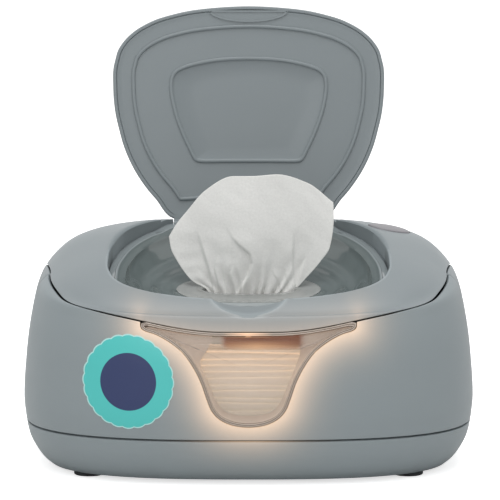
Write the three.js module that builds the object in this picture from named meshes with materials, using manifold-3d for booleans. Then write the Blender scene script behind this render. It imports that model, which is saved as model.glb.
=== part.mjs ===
// A warmer for baby wipes, in millimetres: +X right, +Y to the rear, +Z up, feet on Z = 0.
// It is drawn with its flip lid standing open and one wipe drawn up through the mouth.
import * as THREE from 'three';
import Module from 'manifold-3d';

const wasm = await Module();
wasm.setup();
const { Manifold, Mesh: SolidMesh } = wasm;

// Driving sizes.
// Outer form: rings of a rounded rectangle, drawn in by an inset that grows to the crown.
const halfWidth = 119.5;
const halfDepth = 88.5;
const formHeight = 119;
const formHeightShares =
  [0.0185, 0.042, 0.084, 0.151, 0.227, 0.311, 0.504, 0.714, 0.8235, 0.882, 0.924, 0.958, 0.983, 1];
const formInset = 73.4;
const formInsetShares =
  [0.187, 0.141, 0.0886, 0.0361, 0.0123, 0, 0.0191, 0.0674, 0.1206, 0.211, 0.3174, 0.4796, 0.661, 1];
const crownSlope = 0.248;
const crownSlopeShares = [0, 0, 0.48, 1, 1];
const crownSlopeHeightShares = [0, 0.504, 0.8235, 0.9076, 1];
const crownShift = 6.05;
const crownShiftShares = [0, 0, 0.363, 1, 1];
const crownShiftHeightShares = [0, 0.714, 0.8235, 0.924, 1];
const lowRoundness = 2.74;
const crownRoundness = 3.12;
const crownRoundnessHeightShare = 0.94;
const lowRoundnessHeightShare = 0.76;
const sideCount = 32;
const ringCount = 12;

// General clearances
const wall = 2.6;
const seat = 0.3;
const overrun = 30;
const lightGap = 0.8;

// Seams
const baseSeamHeight = 24.6;
const baseSeamGap = 1.0;
const seamBelowTop = 37.6;
const seamFrontHeight = formHeight - seamBelowTop;
const seamFrontInset = 5.8;
const seamFrontY = seamFrontInset - halfDepth;
const seamSlope = 0.2;
const seamBendY = -10;
const seamDip = 5.7;
const seamDipStart = 15;
const seamDipLength = 65;

// Feet and pan
const footInsetX = 35.5;
const footInsetY = 42.5;
const footX = halfWidth - footInsetX;
const footY = halfDepth - footInsetY;
const footRadius = 8;
const footHeight = 3.2;
const footRecess = 1.5;
const footSides = 18;
const panFloor = 2.6;
const panLip = 3.6;
const panLipThickness = 1.7;
const bossRadius = 4;
const bossBore = 1.7;
const bossInsetX = 22.5;
const bossInsetY = 54.5;
const bossX = halfWidth - bossInsetX;
const bossY = halfDepth - bossInsetY;
const bossHeight = 11;
const slotCount = 5;
const slotPitch = 11;
const slotWidth = 3;
const slotLength = 26;
const slotY = 30;

// Tub that holds the wipes, its heater and its padding
const tubInset = 20.5;
const tubInsetDepth = 19.5;
const tubHalfWidth = halfWidth - tubInset;
const tubHalfDepth = halfDepth - tubInsetDepth;
const tubFloorHeight = 30;
const tubBelowSeam = 7.1;
const tubRimHeight = seamFrontHeight - tubBelowSeam;
const tubWall = 2;
const tubTaper = 2.5;
const tubFlange = 5;
const tubRound = 4.2;
const deckThickness = 2;
const heaterThickness = 2.1;
const heaterMargin = 14;
const padThickness = 4.2;
const padMargin = 10;
const postRadius = 4.5;
const postInsetX = 37;
const postInsetY = 33;
const postX = tubHalfWidth - postInsetX;
const postY = tubHalfDepth - postInsetY;

// Stack of folded wipes
const stackMargin = 8.5;
const stackHalfWidth = tubHalfWidth - stackMargin;
const stackHalfDepth = tubHalfDepth - stackMargin;
const stackBelowRim = 0.5;
const stackHeight = tubRimHeight - stackBelowRim - tubFloorHeight - tubWall - seat;
const stackLayers = 12;
const stackBulge = 1.5;

// Board, thermostat and power inlet in the pan
const boardInsetX = 67.5;
const boardX = halfWidth - boardInsetX;
const boardY = -2;
const boardLength = 58;
const boardDepth = 44;
const boardThickness = 1.6;
const boardHeight = 10;
const standoffRadius = 2.6;
const chipHeight = 4.5;
const thermostatX = -30;
const thermostatRadius = 8.5;
const thermostatHeight = 6;
const jackX = 30;
const jackHeight = 15.5;
const jackRadius = 5.2;
const jackBore = 3.1;
const jackSides = 16;
const jackPin = 1.1;
const jackLength = 15;
const jackFlange = 5.6;
const jackFlangeThickness = 2;

// Refill window
const windowInset = 63.1;
const windowHalfWidth = halfWidth - windowInset;
const windowBottom = 31.9;
const windowPastSeam = 5.6;
const windowHeight = seamFrontHeight + windowPastSeam - windowBottom;
const windowWidthShares =
  [1, 0.994, 0.968, 0.855, 0.716, 0.603, 0.507, 0.441, 0.385, 0.344, 0.28, 0.167, 0];
const windowHeightShares =
  [1, 0.924, 0.9, 0.864, 0.789, 0.695, 0.559, 0.425, 0.263, 0.162, 0.085, 0.025, 0];
const bezelWidth = 2.1;
const bezelProud = 0.3;
const bezelThickness = 2.4;
const lensThickness = 1.8;
const frameWall = 1.8;
const frameBackInset = 17.5;
const frameBack = frameBackInset - halfDepth;
const guideDepth = 8.5;
const guideHeight = 6;
const ledWidth = 5;
const ledHeight = 2.6;
const ledDepth = 2.2;
const ledBoardWidth = 38;
const ledBoardThickness = 1.4;

// Rim plane of the cover, which carries the flip lid
const rimY = -4;
const rimBelowTop = 9.7;
const rimZ = formHeight - rimBelowTop;
const lidInset = 45.9;
const lidHalfWidth = halfWidth - lidInset;
const lidFrontInset = 29.1;
const lidRearInset = 32.5;
const lidFront = lidFrontInset - halfDepth;
const lidLength = halfDepth - lidRearInset - lidFront;
const lidWidthShares = [0, 0.4, 0.573, 0.691, 0.808, 0.867, 0.912, 0.963, 0.985, 1, 1, 0.996,
  0.982, 0.956, 0.926, 0.882, 0.823, 0.746, 0.683, 0.568, 0.3, 0];
const lidLengthShares = [0, 0.018, 0.0415, 0.0651, 0.103, 0.131, 0.159, 0.2065, 0.2535, 0.301,
  0.395, 0.442, 0.513, 0.584, 0.654, 0.725, 0.796, 0.867, 0.914, 1, 1.002, 1.003];
const outlineCount = 39;
const lidClearance = 0.6;
const collarWall = 2.4;
const pocketDepth = 5.2;
const ledgeWidth = 5;
const ledgeThickness = 2.2;
const lidOpenAngle = 116.4;

// Flip lid
const lidDome = 7.8;
const lidDomeShares = [0.0, 0.1, 0.4, 0.7, 0.91, 1];
const lidDomeScaleShares = [1, 0.985, 0.9, 0.73, 0.48, 0.14];
const lidSkirt = 2.9;
const lidWall = 2.0;
const panelThickness = 1.3;
const panelDepth = 0.9;
const ribHeight = 1.3;
const ribWidth = 2.2;
const ribInset = 10;
const plateRibBehindFront = 27.7;
const plateRibShoulderSetback = 9.4;
const plateRibWideSetback = 18.3;
const plateRibBeforeRear = 29.7;
const plateRibInset = 30.4;
const plateRibFront = lidFront + plateRibBehindFront;
const plateRibShoulder = plateRibFront + plateRibShoulderSetback;
const plateRibWide = plateRibFront + plateRibWideSetback;
const plateRibRear = lidFront + lidLength - plateRibBeforeRear;
const plateRibHalfWidth = lidHalfWidth - plateRibInset;
const plateRibShoulderShare = 0.975;
const plateRibRearShare = 0.663;
const tabHalfWidth = 21;
const tabLength = 6;
const tabProud = 0.7;

// Lid hinge
const lidAxisBehind = 4.474;
const lidAxisBelow = 5.416;
const barrelRadius = 3;
const barrelInset = 31.9;
const barrelHalf = lidHalfWidth - barrelInset;
const pinRadius = 1.5;
const pinBore = 1.8;
const pinSocket = 3;
const troughGap = 0.8;
const lidSwingRoom = 1.6;
const housingWidth = 5;
const housingDrop = 7;

// Dispensing basin, its mouth and the soft seal
const flangeThickness = 1.8;
const dishInset = 8.4;
const dishWall = 1.8;
const dishDepth = 14.9;
const dishDepthShares = [0, 0.25, 0.56, 0.86, 1];
const dishBlendShares = [0, 0.05, 0.22, 0.58, 1];
const mouthHalfWidth = 28.5;
const mouthHalfDepth = 10.5;
const mouthY = -2;
const sealThickness = 1.8;
const sealWidth = 3.9;
const sealLip = 1.6;

// Finger scoop in the front of the cover
const scoopHalfWidth = 21.5;
const scoopDepthY = 17;
const scoopDepthZ = 10;
const scoopInset = 22.6;
const scoopBelowTop = 22;
const scoopY = scoopInset - halfDepth;
const scoopZ = formHeight - scoopBelowTop;
const scoopWall = 2.2;
const scoopRim = 1.1;

// Side latches
const latchY = 4;
const latchHalfLength = 21;
const latchRise = 1.6;
const latchDrop = 15.5;
const latchRoundness = 2.5;
const latchGap = 0.45;
const latchThickness = 2.4;
const latchBoss = 4.5;
const latchBossLength = 5;

// Power button, its light and its switch
const buttonInsetX = 44;
const buttonInsetY = 58.5;
const buttonX = halfWidth - buttonInsetX;
const buttonY = halfDepth - buttonInsetY;
const buttonHalfLength = 11;
const buttonHalfWidth = 8.3;
const buttonProud = 0.6;
const buttonThickness = 2.6;
const buttonGap = 0.4;
const stemRadius = 2;
const stemLength = 3.4;
const lampHalfLength = 5.5;
const lampHalfWidth = 1.3;
const lampOffset = 11;
const switchDrop = 11.5;
const switchBoardLength = 21;
const switchBoardDepth = 16;
const switchBoardThickness = 1.6;
const switchSize = 6;
const switchHeight = 2.4;

// Rear hinge of the cover
const hingeX = 38;
const hingeInset = 9.3;
const hingeBelowTop = 15.5;
const hingeY = halfDepth - hingeInset;
const hingeZ = formHeight - hingeBelowTop;
const hingeRadius = 3.5;
const knuckleWidth = 11.4;
const earWidth = 7.4;
const knuckleGap = 0.4;
const hingeRelief = 0.7;
const hingeWeb = 9;
const hingeWebDepth = 6;

// Wipe standing in the mouth
const wipeHalfWidth = 44;
const wipeRise = 44.2;
const wipeTop = rimZ + wipeRise;
const wipeFootThickness = 3.4;
const wipeSheet = 0.75;
const wipeFold = 7;
const wipeLean = 7;
const wipeWidthShares = [0.4, 0.6, 0.79, 0.87, 0.92, 0.95, 0.97, 0.98, 0.99, 1];
const wipeEdgeDropShares = [0.749, 0.448, 0.195, 0.065, 0.024, 0.009, 0.076, 0.184, 0.353];
const wipeColumns = 24;
const wipeRows = 9;

// Small helpers.
const tiltAngle = Math.atan(crownSlope);
const cosTilt = Math.cos(tiltAngle);
const sinTilt = Math.sin(tiltAngle);

// A straight-line reading of a table at a place.
function readTable(places, values, at) {
  if (at <= places[0]) return values[0];
  for (let i = 1; i < places.length; i++) {
    if (at <= places[i]) {
      const share = (at - places[i - 1]) / (places[i] - places[i - 1]);
      return values[i - 1] + (values[i] - values[i - 1]) * share;
    }
  }
  return values[values.length - 1];
}

// A closed body from points and triangles, faces outward.
function body(points, triangles) {
  let volume = 0;
  for (const [a, b, c] of triangles) {
    const [p, q, r] = [points[a], points[b], points[c]];
    volume += p[0] * (q[1] * r[2] - q[2] * r[1]) - p[1] * (q[0] * r[2] - q[2] * r[0])
      + p[2] * (q[0] * r[1] - q[1] * r[0]);
  }
  const faces = volume < 0 ? triangles.map(([a, b, c]) => [a, c, b]) : triangles;
  return new Manifold(new SolidMesh({
    numProp: 3,
    vertProperties: Float32Array.from(points.flat()),
    triVerts: Uint32Array.from(faces.flat()),
  }));
}

// A body through equal rings of points; plane names the two axes that its flat ends are cut in.
function loft(rings, plane = [0, 1]) {
  const count = rings[0].length;
  const points = rings.flat();
  const triangles = [];
  for (let k = 0; k + 1 < rings.length; k++) {
    for (let i = 0; i < count; i++) {
      const j = (i + 1) % count;
      const low = k * count;
      const high = low + count;
      triangles.push([low + i, low + j, high + j], [low + i, high + j, high + i]);
    }
  }
  const last = (rings.length - 1) * count;
  const turn = (ring) => THREE.ShapeUtils.area(ring.map((p) => new THREE.Vector2(p[plane[0]], p[plane[1]])));
  const ends = [[rings[0], 0, true], [rings[rings.length - 1], last, false]];
  for (const [ring, start, down] of ends) {
    const flat = ring.map((p) => new THREE.Vector2(p[plane[0]], p[plane[1]]));
    const forward = turn(ring) > 0;
    const outline = forward ? flat : flat.slice().reverse();
    const index = (i) => start + (forward ? i : count - 1 - i);
    for (const [a, b, c] of THREE.ShapeUtils.triangulateShape(outline, [])) {
      const face = [index(a), index(b), index(c)];
      triangles.push(down === forward ? [face[0], face[2], face[1]] : face);
    }
  }
  return body(points, triangles);
}

// A straight body from an outline; place turns outline coordinates and a depth into a point.
function prism(outline, low, high, place, plane) {
  return loft([low, high].map((depth) => outline.map(([a, b]) => place(a, b, depth))), plane);
}

const alongZ = (a, b, depth) => [a, b, depth];
const alongY = (a, b, depth) => [a, depth, b];
const alongX = (a, b, depth) => [depth, a, b];
const onRim = (x, s, t) =>
  [x, rimY + s * cosTilt - t * sinTilt, rimZ + s * sinTilt + t * cosTilt];

function box(low, high) {
  const outline = [[low[0], low[1]], [high[0], low[1]], [high[0], high[1]], [low[0], high[1]]];
  return prism(outline, low[2], high[2], alongZ);
}

function oval(centreA, centreB, halfA, halfB, count, power = 2) {
  return Array.from({ length: count }, (_, i) => {
    const angle = (2 * Math.PI * i) / count;
    const c = Math.cos(angle);
    const s = Math.sin(angle);
    return [centreA + halfA * Math.sign(c) * Math.abs(c) ** (2 / power),
      centreB + halfB * Math.sign(s) * Math.abs(s) ** (2 / power)];
  });
}

const roundPost = (x, y, radius, low, high, count = 12) =>
  prism(oval(x, y, radius, radius, count), low, high, alongZ);
const roundBar = (y, z, radius, low, high, count = 14) =>
  prism(oval(y, z, radius, radius, count), low, high, alongX, [1, 2]);

// Moves each point of an outline outward along its own normal.
function grow(outline, distance) {
  const count = outline.length;
  const area = THREE.ShapeUtils.area(outline.map(([a, b]) => new THREE.Vector2(a, b)));
  return outline.map(([a, b], i) => {
    const before = outline[(i + count - 1) % count];
    const after = outline[(i + 1) % count];
    const one = new THREE.Vector2(b - before[1], before[0] - a).normalize();
    const two = new THREE.Vector2(after[1] - b, a - after[0]).normalize();
    const normal = one.clone().add(two).normalize();
    const reach = (distance * Math.sign(area)) / Math.max(normal.dot(one), 0.5);
    return [a + normal.x * reach, b + normal.y * reach];
  });
}

// A body between two height fields over a grid.
function fieldBody(xs, ys, lowAt, highAt) {
  const points = [];
  for (const at of [lowAt, highAt]) {
    for (const y of ys) for (const x of xs) points.push([x, y, at(x, y)]);
  }
  const [nx, ny] = [xs.length, ys.length];
  const top = nx * ny;
  const triangles = [];
  const quad = (a, b, c, d) => triangles.push([a, b, c], [a, c, d]);
  for (let j = 0; j + 1 < ny; j++) {
    for (let i = 0; i + 1 < nx; i++) {
      const a = j * nx + i;
      quad(a, a + nx, a + nx + 1, a + 1);
      quad(top + a, top + a + 1, top + a + nx + 1, top + a + nx);
    }
  }
  for (let i = 0; i + 1 < nx; i++) {
    const back = (ny - 1) * nx + i;
    quad(i, i + 1, top + i + 1, top + i);
    quad(back, top + back, top + back + 1, back + 1);
  }
  for (let j = 0; j + 1 < ny; j++) {
    const left = j * nx;
    const right = left + nx - 1;
    quad(left, top + left, top + left + nx, left + nx);
    quad(right, right + nx, top + right + nx, top + right);
  }
  return body(points, triangles);
}

const steps = (low, high, count) =>
  Array.from({ length: count + 1 }, (_, i) => low + ((high - low) * i) / count);

// Outer form.
const formCurve = new THREE.SplineCurve(formHeightShares.map((share, i) =>
  new THREE.Vector2(formInsetShares[i] * formInset, share * formHeight)));
const formProfile = formCurve.getPoints(ringCount * 2).filter((_, i) => i % 2 === 0)
  .map((p) => [p.x, p.y]);

const slopeAt = (h) => crownSlope
  * readTable(crownSlopeHeightShares, crownSlopeShares, h / formHeight);
const shiftAt = (h) => crownShift
  * readTable(crownShiftHeightShares, crownShiftShares, h / formHeight);
const roundnessAt = (h) => readTable([lowRoundnessHeightShare, crownRoundnessHeightShare],
  [lowRoundness, crownRoundness], h / formHeight);

// The closed outer form drawn in by a depth, measured square to the surface.
function form(depth) {
  const rings = formProfile.map(([inset, h], k) => {
    const before = formProfile[Math.max(k - 1, 0)];
    const after = formProfile[Math.min(k + 1, formProfile.length - 1)];
    const slope = (after[0] - before[0]) / (after[1] - before[1]);
    const norm = Math.hypot(1, slope);
    const drop = Math.max((depth * slope) / norm, -Math.abs(depth) * Number(k > 0));
    const inward = inset + depth / norm;
    const halfX = halfWidth - inward;
    const halfY = halfDepth - inward - shiftAt(h);
    return oval(0, -shiftAt(h), halfX, halfY, sideCount, roundnessAt(h))
      .map(([x, y]) => [x, y, h - drop + slopeAt(h) * y]);
  });
  return loft(rings);
}

// A straight body whose outline is the form's own at one height, drawn in by a depth.
function level(at, depth, low, high) {
  const inset = depth + readTable(formProfile.map((p) => p[1]), formProfile.map((p) => p[0]), at);
  return prism(oval(0, -shiftAt(at), halfWidth - inset, halfDepth - inset - shiftAt(at), sideCount,
    roundnessAt(at)), low, high, alongZ);
}

// Height of the outer form over a place.
function surfaceHeight(x, y) {
  let [low, high] = [formHeight / 2, formHeight];
  for (let i = 0; i < 40; i++) {
    const h = (low + high) / 2;
    const inset = readTable(formProfile.map((p) => p[1]), formProfile.map((p) => p[0]), h);
    const power = roundnessAt(h);
    const reach = Math.abs(x / (halfWidth - inset)) ** power
      + Math.abs((y + shiftAt(h)) / (halfDepth - inset - shiftAt(h))) ** power;
    if (reach < 1) low = h; else high = h;
  }
  return low + slopeAt(low) * y;
}

// Seams.
const dipLines = steps(seamDipStart, seamDipStart + seamDipLength, 6);
const gridX = [-halfWidth - overrun, ...dipLines.map((x) => -x).reverse(), ...dipLines,
  halfWidth + overrun];
const gridY = [-halfDepth - overrun, seamFrontY + seamDipStart, seamBendY, halfDepth + overrun];

const smooth = (share) => {
  const held = Math.min(Math.max(share, 0), 1);
  return held * held * (3 - 2 * held);
};

// The parting line dips over the window, climbs along the sides and runs level round the rear.
function seamHeight(x, y) {
  const side = smooth((Math.abs(x) - seamDipStart) / seamDipLength);
  const back = smooth((y - seamFrontY - seamDipStart) / (seamBendY - seamFrontY - seamDipStart));
  return seamFrontHeight + seamSlope * (Math.min(y, seamBendY) - seamFrontY)
    + seamDip * Math.max(side, back);
}

const belowSeam = (drop) => fieldBody(gridX, gridY, () => -overrun, (x, y) => seamHeight(x, y) - drop);
const aboveSeam = (lift) =>
  fieldBody(gridX, gridY, (x, y) => seamHeight(x, y) + lift, () => formHeight + halfDepth);
const slab = (low, high) => box([-halfWidth - overrun, -halfDepth - overrun, low],
  [halfWidth + overrun, halfDepth + overrun, high]);

// Outlines.
// Window: a funnel whose sides are curved and whose open top runs past the cover's seam.
function windowOutline(distance) {
  const right = windowWidthShares.map((share, i) =>
    [share * windowHalfWidth, windowBottom + windowHeightShares[i] * windowHeight]);
  const left = right.slice(0, -1).map(([x, z]) => [-x, z]).reverse();
  const sides = grow([...right, ...left], distance);
  const last = sides.length - 1;
  const top = windowBottom + windowHeight + overrun;
  return [[sides[0][0], top], ...sides, [sides[last][0], top]];
}
const windowPrism = (distance, back) =>
  prism(windowOutline(distance), -halfDepth - overrun, back, alongY, [0, 2]);

// Flip lid: wider at its front, with a straight rear edge.
const lidPoints = lidWidthShares.map((share, i) =>
  [share * lidHalfWidth, lidFront + lidLengthShares[i] * lidLength]);
const lidCurve = new THREE.CatmullRomCurve3([
  ...lidPoints.map(([x, s]) => new THREE.Vector3(x, s, 0)),
  ...lidPoints.slice(1, -1).reverse().map(([x, s]) => new THREE.Vector3(-x, s, 0)),
], true, 'centripetal');
const lidOutline = lidCurve.getSpacedPoints(outlineCount).slice(0, outlineCount)
  .map((p) => [p.x, p.y]);
const lidMiddle = lidFront + lidLength / 2;
const rimPrism = (outline, low, high) => prism(outline, low, high, onRim);

// Latches.
const latchHeight = seamFrontHeight + seamSlope * (seamBendY - seamFrontY) + seamDip;
function latchLens(distance) {
  const turns = steps(0, Math.PI, 16);
  const power = 2 / latchRoundness;
  const lower = turns.map((a) => [latchY - latchHalfLength * Math.sign(Math.cos(a))
    * Math.abs(Math.cos(a)) ** power, latchHeight - latchDrop * Math.sin(a) ** power]);
  const upper = [0.6, 0, -0.6].map((u) =>
    [latchY + u * latchHalfLength, latchHeight + latchRise * (1 - u * u)]);
  return grow([...lower, ...upper], distance);
}
const latchPrism = (distance, side) => {
  const ends = [side * (halfWidth + overrun), side * (halfWidth - overrun)];
  return prism(latchLens(distance), Math.min(...ends), Math.max(...ends), alongX, [1, 2]);
};

// Pieces.
const outer = form(0);
const inner = form(wall);
const nodes = [];
const materials = {
  housing: [0x8a9296, 0.45], cover: [0xa6abad, 0.42], lid: [0x7f888b, 0.4],
  dark: [0x2c2f31, 0.8], clear: [0xcfd6d4, 0.12], frame: [0xb5a9a6, 0.5],
  glossy: [0x6f7c78, 0.15], seal: [0xd9dcd8, 0.6], wipe: [0xf2f2ef, 0.9],
  stack: [0xd9ccb8, 0.95], tub: [0xe2e4e2, 0.4], metal: [0xb9bcc0, 0.3],
  pad: [0xe9e4d6, 0.9], board: [0x2f6b46, 0.5], lamp: [0xe08a86, 0.3], guide: [0xf0c9a0, 0.3],
};

function put(name, solid, kind) {
  const mesh = solid.getMesh();
  const geometry = new THREE.BufferGeometry();
  const positions = new Float32Array(mesh.numVert * 3);
  for (let i = 0; i < mesh.numVert; i++) {
    for (let k = 0; k < 3; k++) positions[i * 3 + k] = mesh.vertProperties[i * mesh.numProp + k];
  }
  geometry.setAttribute('position', new THREE.BufferAttribute(positions, 3));
  geometry.setIndex(Array.from(mesh.triVerts));
  geometry.computeVertexNormals();
  const [color, roughness] = materials[kind];
  const node = new THREE.Mesh(geometry, new THREE.MeshStandardMaterial({ color, roughness }));
  node.name = name;
  nodes.push(node);
}

const corners = [['front_left', -1, -1], ['front_right', 1, -1], ['rear_left', -1, 1],
  ['rear_right', 1, 1]];

// Base pan: an open tray with foot recesses, screw bosses, posts, standoffs and air slots.
function basePan() {
  const low = formHeightShares[0] * formHeight;
  const floorTop = low + panFloor;
  let pan = outer.intersect(slab(-overrun, baseSeamHeight - baseSeamGap / 2));
  pan = pan.subtract(inner.intersect(slab(floorTop, baseSeamHeight + overrun)));
  for (const [, i, j] of corners) {
    pan = pan.add(roundPost(i * bossX, j * bossY, bossRadius, low + panFloor / 2, low + bossHeight));
    pan = pan.add(roundPost(i * postX, j * postY, postRadius, low + panFloor / 2,
      tubFloorHeight - heaterThickness - padThickness - seat * 3));
    pan = pan.add(roundPost(i * footX, j * footY, footRadius + wall / 2, low + footRecess / 2,
      footHeight + seat + wall / 2, footSides));
  }
  const reachX = boardLength / 2 - standoffRadius * 1.5;
  const reachY = boardDepth / 2 - standoffRadius * 1.5;
  for (const [, i, j] of corners) {
    pan = pan.add(roundPost(boardX + i * reachX, boardY + j * reachY, standoffRadius,
      low + panFloor / 2, boardHeight - seat, 8));
    pan = pan.subtract(roundPost(i * bossX, j * bossY, bossBore, -overrun, low + bossHeight - wall));
    pan = pan.subtract(roundPost(i * footX, j * footY, footRadius + seat, -overrun,
      footHeight + seat, footSides));
  }
  for (let k = 0; k < slotCount; k++) {
    const x = (k - (slotCount - 1) / 2) * slotPitch;
    pan = pan.subtract(box([x - slotWidth / 2, slotY - slotLength / 2, -overrun],
      [x + slotWidth / 2, slotY + slotLength / 2, floorTop + wall]));
  }
  const rear = prism(oval(jackX, jackHeight, jackRadius + seat, jackRadius + seat, jackSides),
    halfDepth - jackLength, halfDepth + overrun, alongY, [0, 2]);
  put('base_pan', pan.subtract(rear), 'housing');
}

function feet() {
  for (const [name, i, j] of corners) {
    put(`foot_${name}`, roundPost(i * footX, j * footY, footRadius, 0, footHeight, footSides), 'dark');
  }
}

// Rear hinge barrels: the ears belong to the body shell, the knuckle between them to the cover.
const hingeBar = (radius, low, high) => roundBar(hingeY, hingeZ, radius, low, high, 16);
function hingeSpans(side) {
  const middle = side * hingeX;
  const inside = knuckleWidth / 2 + knuckleGap;
  return {
    knuckle: [middle - knuckleWidth / 2, middle + knuckleWidth / 2],
    ears: [[middle - inside - earWidth, middle - inside], [middle + inside, middle + inside + earWidth]],
    whole: [middle - inside - earWidth, middle + inside + earWidth],
  };
}

function bodyShell() {
  let shell = outer.intersect(belowSeam(lightGap / 2))
    .intersect(slab(baseSeamHeight + baseSeamGap / 2, formHeight + halfDepth));
  shell = shell.subtract(inner);
  // Deck that the tub's flange rests on
  const deckHigh = tubRimHeight - deckThickness - seat;
  shell = shell.add(level(deckHigh, wall / 2, deckHigh - deckThickness, deckHigh)
    .subtract(prism(oval(0, 0, tubHalfWidth + lightGap, tubHalfDepth + lightGap, sideCount,
      tubRound), 0, formHeight, alongZ)));
  // Lip that drops into the pan
  const lipTop = baseSeamHeight + panLip / 2;
  const lipLow = baseSeamHeight - panLip;
  const lip = level(lipLow, wall + seat, lipLow, lipTop)
    .add(level(baseSeamHeight, wall / 2, baseSeamHeight + baseSeamGap / 2, lipTop))
    .subtract(level(lipLow, wall + seat + panLipThickness, -overrun, formHeight));
  shell = shell.add(lip);
  shell = shell.subtract(windowPrism(0, frameBack + wall));
  for (const side of [-1, 1]) {
    shell = shell.subtract(latchPrism(latchGap, side));
    const spans = hingeSpans(side);
    for (const [low, high] of spans.ears) {
      shell = shell.add(hingeBar(hingeRadius, low, high));
      shell = shell.add(box([low, hingeY - hingeWebDepth, hingeZ - hingeWeb],
        [high, hingeY + hingeRadius / 2, hingeZ]));
    }
    shell = shell.subtract(hingeBar(hingeRadius + hingeRelief, spans.knuckle[0] - knuckleGap,
      spans.knuckle[1] + knuckleGap));
    shell = shell.subtract(hingeBar(pinBore, spans.whole[0] - wall, spans.whole[1] + wall));
  }
  put('body_shell', shell, 'housing');
}

function hingePins() {
  for (const [name, side] of [['left', -1], ['right', 1]]) {
    const [low, high] = hingeSpans(side).whole;
    put(`cover_hinge_pin_${name}`, hingeBar(pinRadius, low + seat, high - seat), 'metal');
  }
}

// Tub: drawn walls, a flange on the deck and a front opening behind the window.
function wipeTub() {
  const taper = (share) => tubTaper * (1 - share);
  const ring = (share, z, depth) => oval(0, 0, tubHalfWidth - taper(share) - depth,
    tubHalfDepth - taper(share) - depth, sideCount, tubRound).map(([x, y]) => [x, y, z]);
  const flangeLow = tubRimHeight - deckThickness;
  let tub = loft([ring(0, tubFloorHeight, tubWall * 1.5), ring(0.06, tubFloorHeight + tubWall * 1.5, 0),
    ring(1, tubRimHeight, 0)]);
  const flange = prism(oval(0, 0, tubHalfWidth + tubFlange, tubHalfDepth + tubFlange, sideCount,
    tubRound), flangeLow, tubRimHeight, alongZ).intersect(form(wall + lightGap));
  tub = tub.add(flange.subtract(windowPrism(lightGap, -tubHalfDepth - seat)));
  tub = tub.subtract(loft([ring(0.06, tubFloorHeight + tubWall, tubWall * 2.5),
    ring(0.1, tubFloorHeight + tubWall * 2.5, tubWall), ring(1, tubRimHeight + seat, tubWall)]));
  const pane = windowPrism(-bezelWidth, -tubHalfDepth + overrun);
  put('wipe_tub', tub.subtract(pane), 'tub');
  const paneBody = loft([ring(0, tubFloorHeight, 0), ring(1, tubRimHeight, 0)])
    .subtract(loft([ring(0, tubFloorHeight - seat, tubWall), ring(1, tubRimHeight + seat, tubWall)]));
  put('tub_window', paneBody.intersect(windowPrism(-bezelWidth - seat, 0))
    .intersect(slab(tubFloorHeight, tubRimHeight)), 'clear');
}

// Window: bezel, clear pane and the funnel-shaped frame behind them.
function refillWindow() {
  const fitted = (distance, drop, back) =>
    windowPrism(distance, back).intersect(belowSeam(lightGap / 2 + drop));
  const proud = form(-bezelProud);
  const bezel = proud.subtract(form(bezelThickness)).intersect(fitted(-seat, 0, 0))
    .subtract(fitted(-seat - bezelWidth, bezelWidth, 0));
  put('window_bezel', bezel, 'frame');
  const edge = seat * 2 + bezelWidth;
  put('window_pane', outer.subtract(form(lensThickness))
    .intersect(fitted(-edge, bezelWidth + seat, 0)), 'clear');
  const frame = form(bezelThickness + seat).intersect(fitted(-seat, 0, frameBack))
    .subtract(windowPrism(-seat - frameWall, 0).intersect(belowSeam(lightGap / 2 + frameWall)));
  put('window_frame', frame, 'frame');
  // Ledge that spreads the night light, with its lamp and board
  const room = fitted(-seat * 2 - frameWall, frameWall + seat, frameBack - seat);
  const guideFront = form(bezelThickness + seat * 2).intersect(room);
  const guideLow = seamFrontHeight - frameWall - guideHeight;
  const guideBack = -halfDepth + guideDepth + bezelThickness + wall + seat;
  const guide = guideFront.intersect(box([-halfWidth, -halfDepth, guideLow],
    [halfWidth, guideBack, formHeight]));
  put('light_guide', guide, 'guide');
  const ledMiddle = guideLow + guideHeight / 2 - seat;
  put('night_light_lamp', prism(oval(0, ledMiddle, ledWidth / 2, ledHeight / 2, 16),
    guideBack + seat, guideBack + seat + ledDepth, alongY, [0, 2]), 'lamp');
  const boardFront = guideBack + seat * 2 + ledDepth;
  put('night_light_board', box([-ledBoardWidth / 2, boardFront, ledMiddle - guideHeight / 2],
    [ledBoardWidth / 2, boardFront + ledBoardThickness, ledMiddle + guideHeight / 2]), 'board');
}

// Stack of folded wipes: a rounded block whose sides bulge once for each folded sheet.
function wipeStack() {
  const base = tubFloorHeight + tubWall + seat;
  const layer = stackHeight / stackLayers;
  const rings = [];
  for (let k = 0; k <= stackLayers * 2; k++) {
    const draw = k % 2 === 0 ? stackBulge : stackBulge * 0.15 * ((k % 3) + 1);
    const z = base + (k * layer) / 2;
    rings.push(oval(0, 0, stackHalfWidth - draw, stackHalfDepth - draw, 24, tubRound).map(([x, y], i) =>
      [x, y, z + (k > 0 && k < stackLayers * 2 ? layer * 0.12 * Math.sin(i * 2.1 + k) : 0)]));
  }
  put('wipe_stack', loft(rings), 'stack');
}

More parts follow.
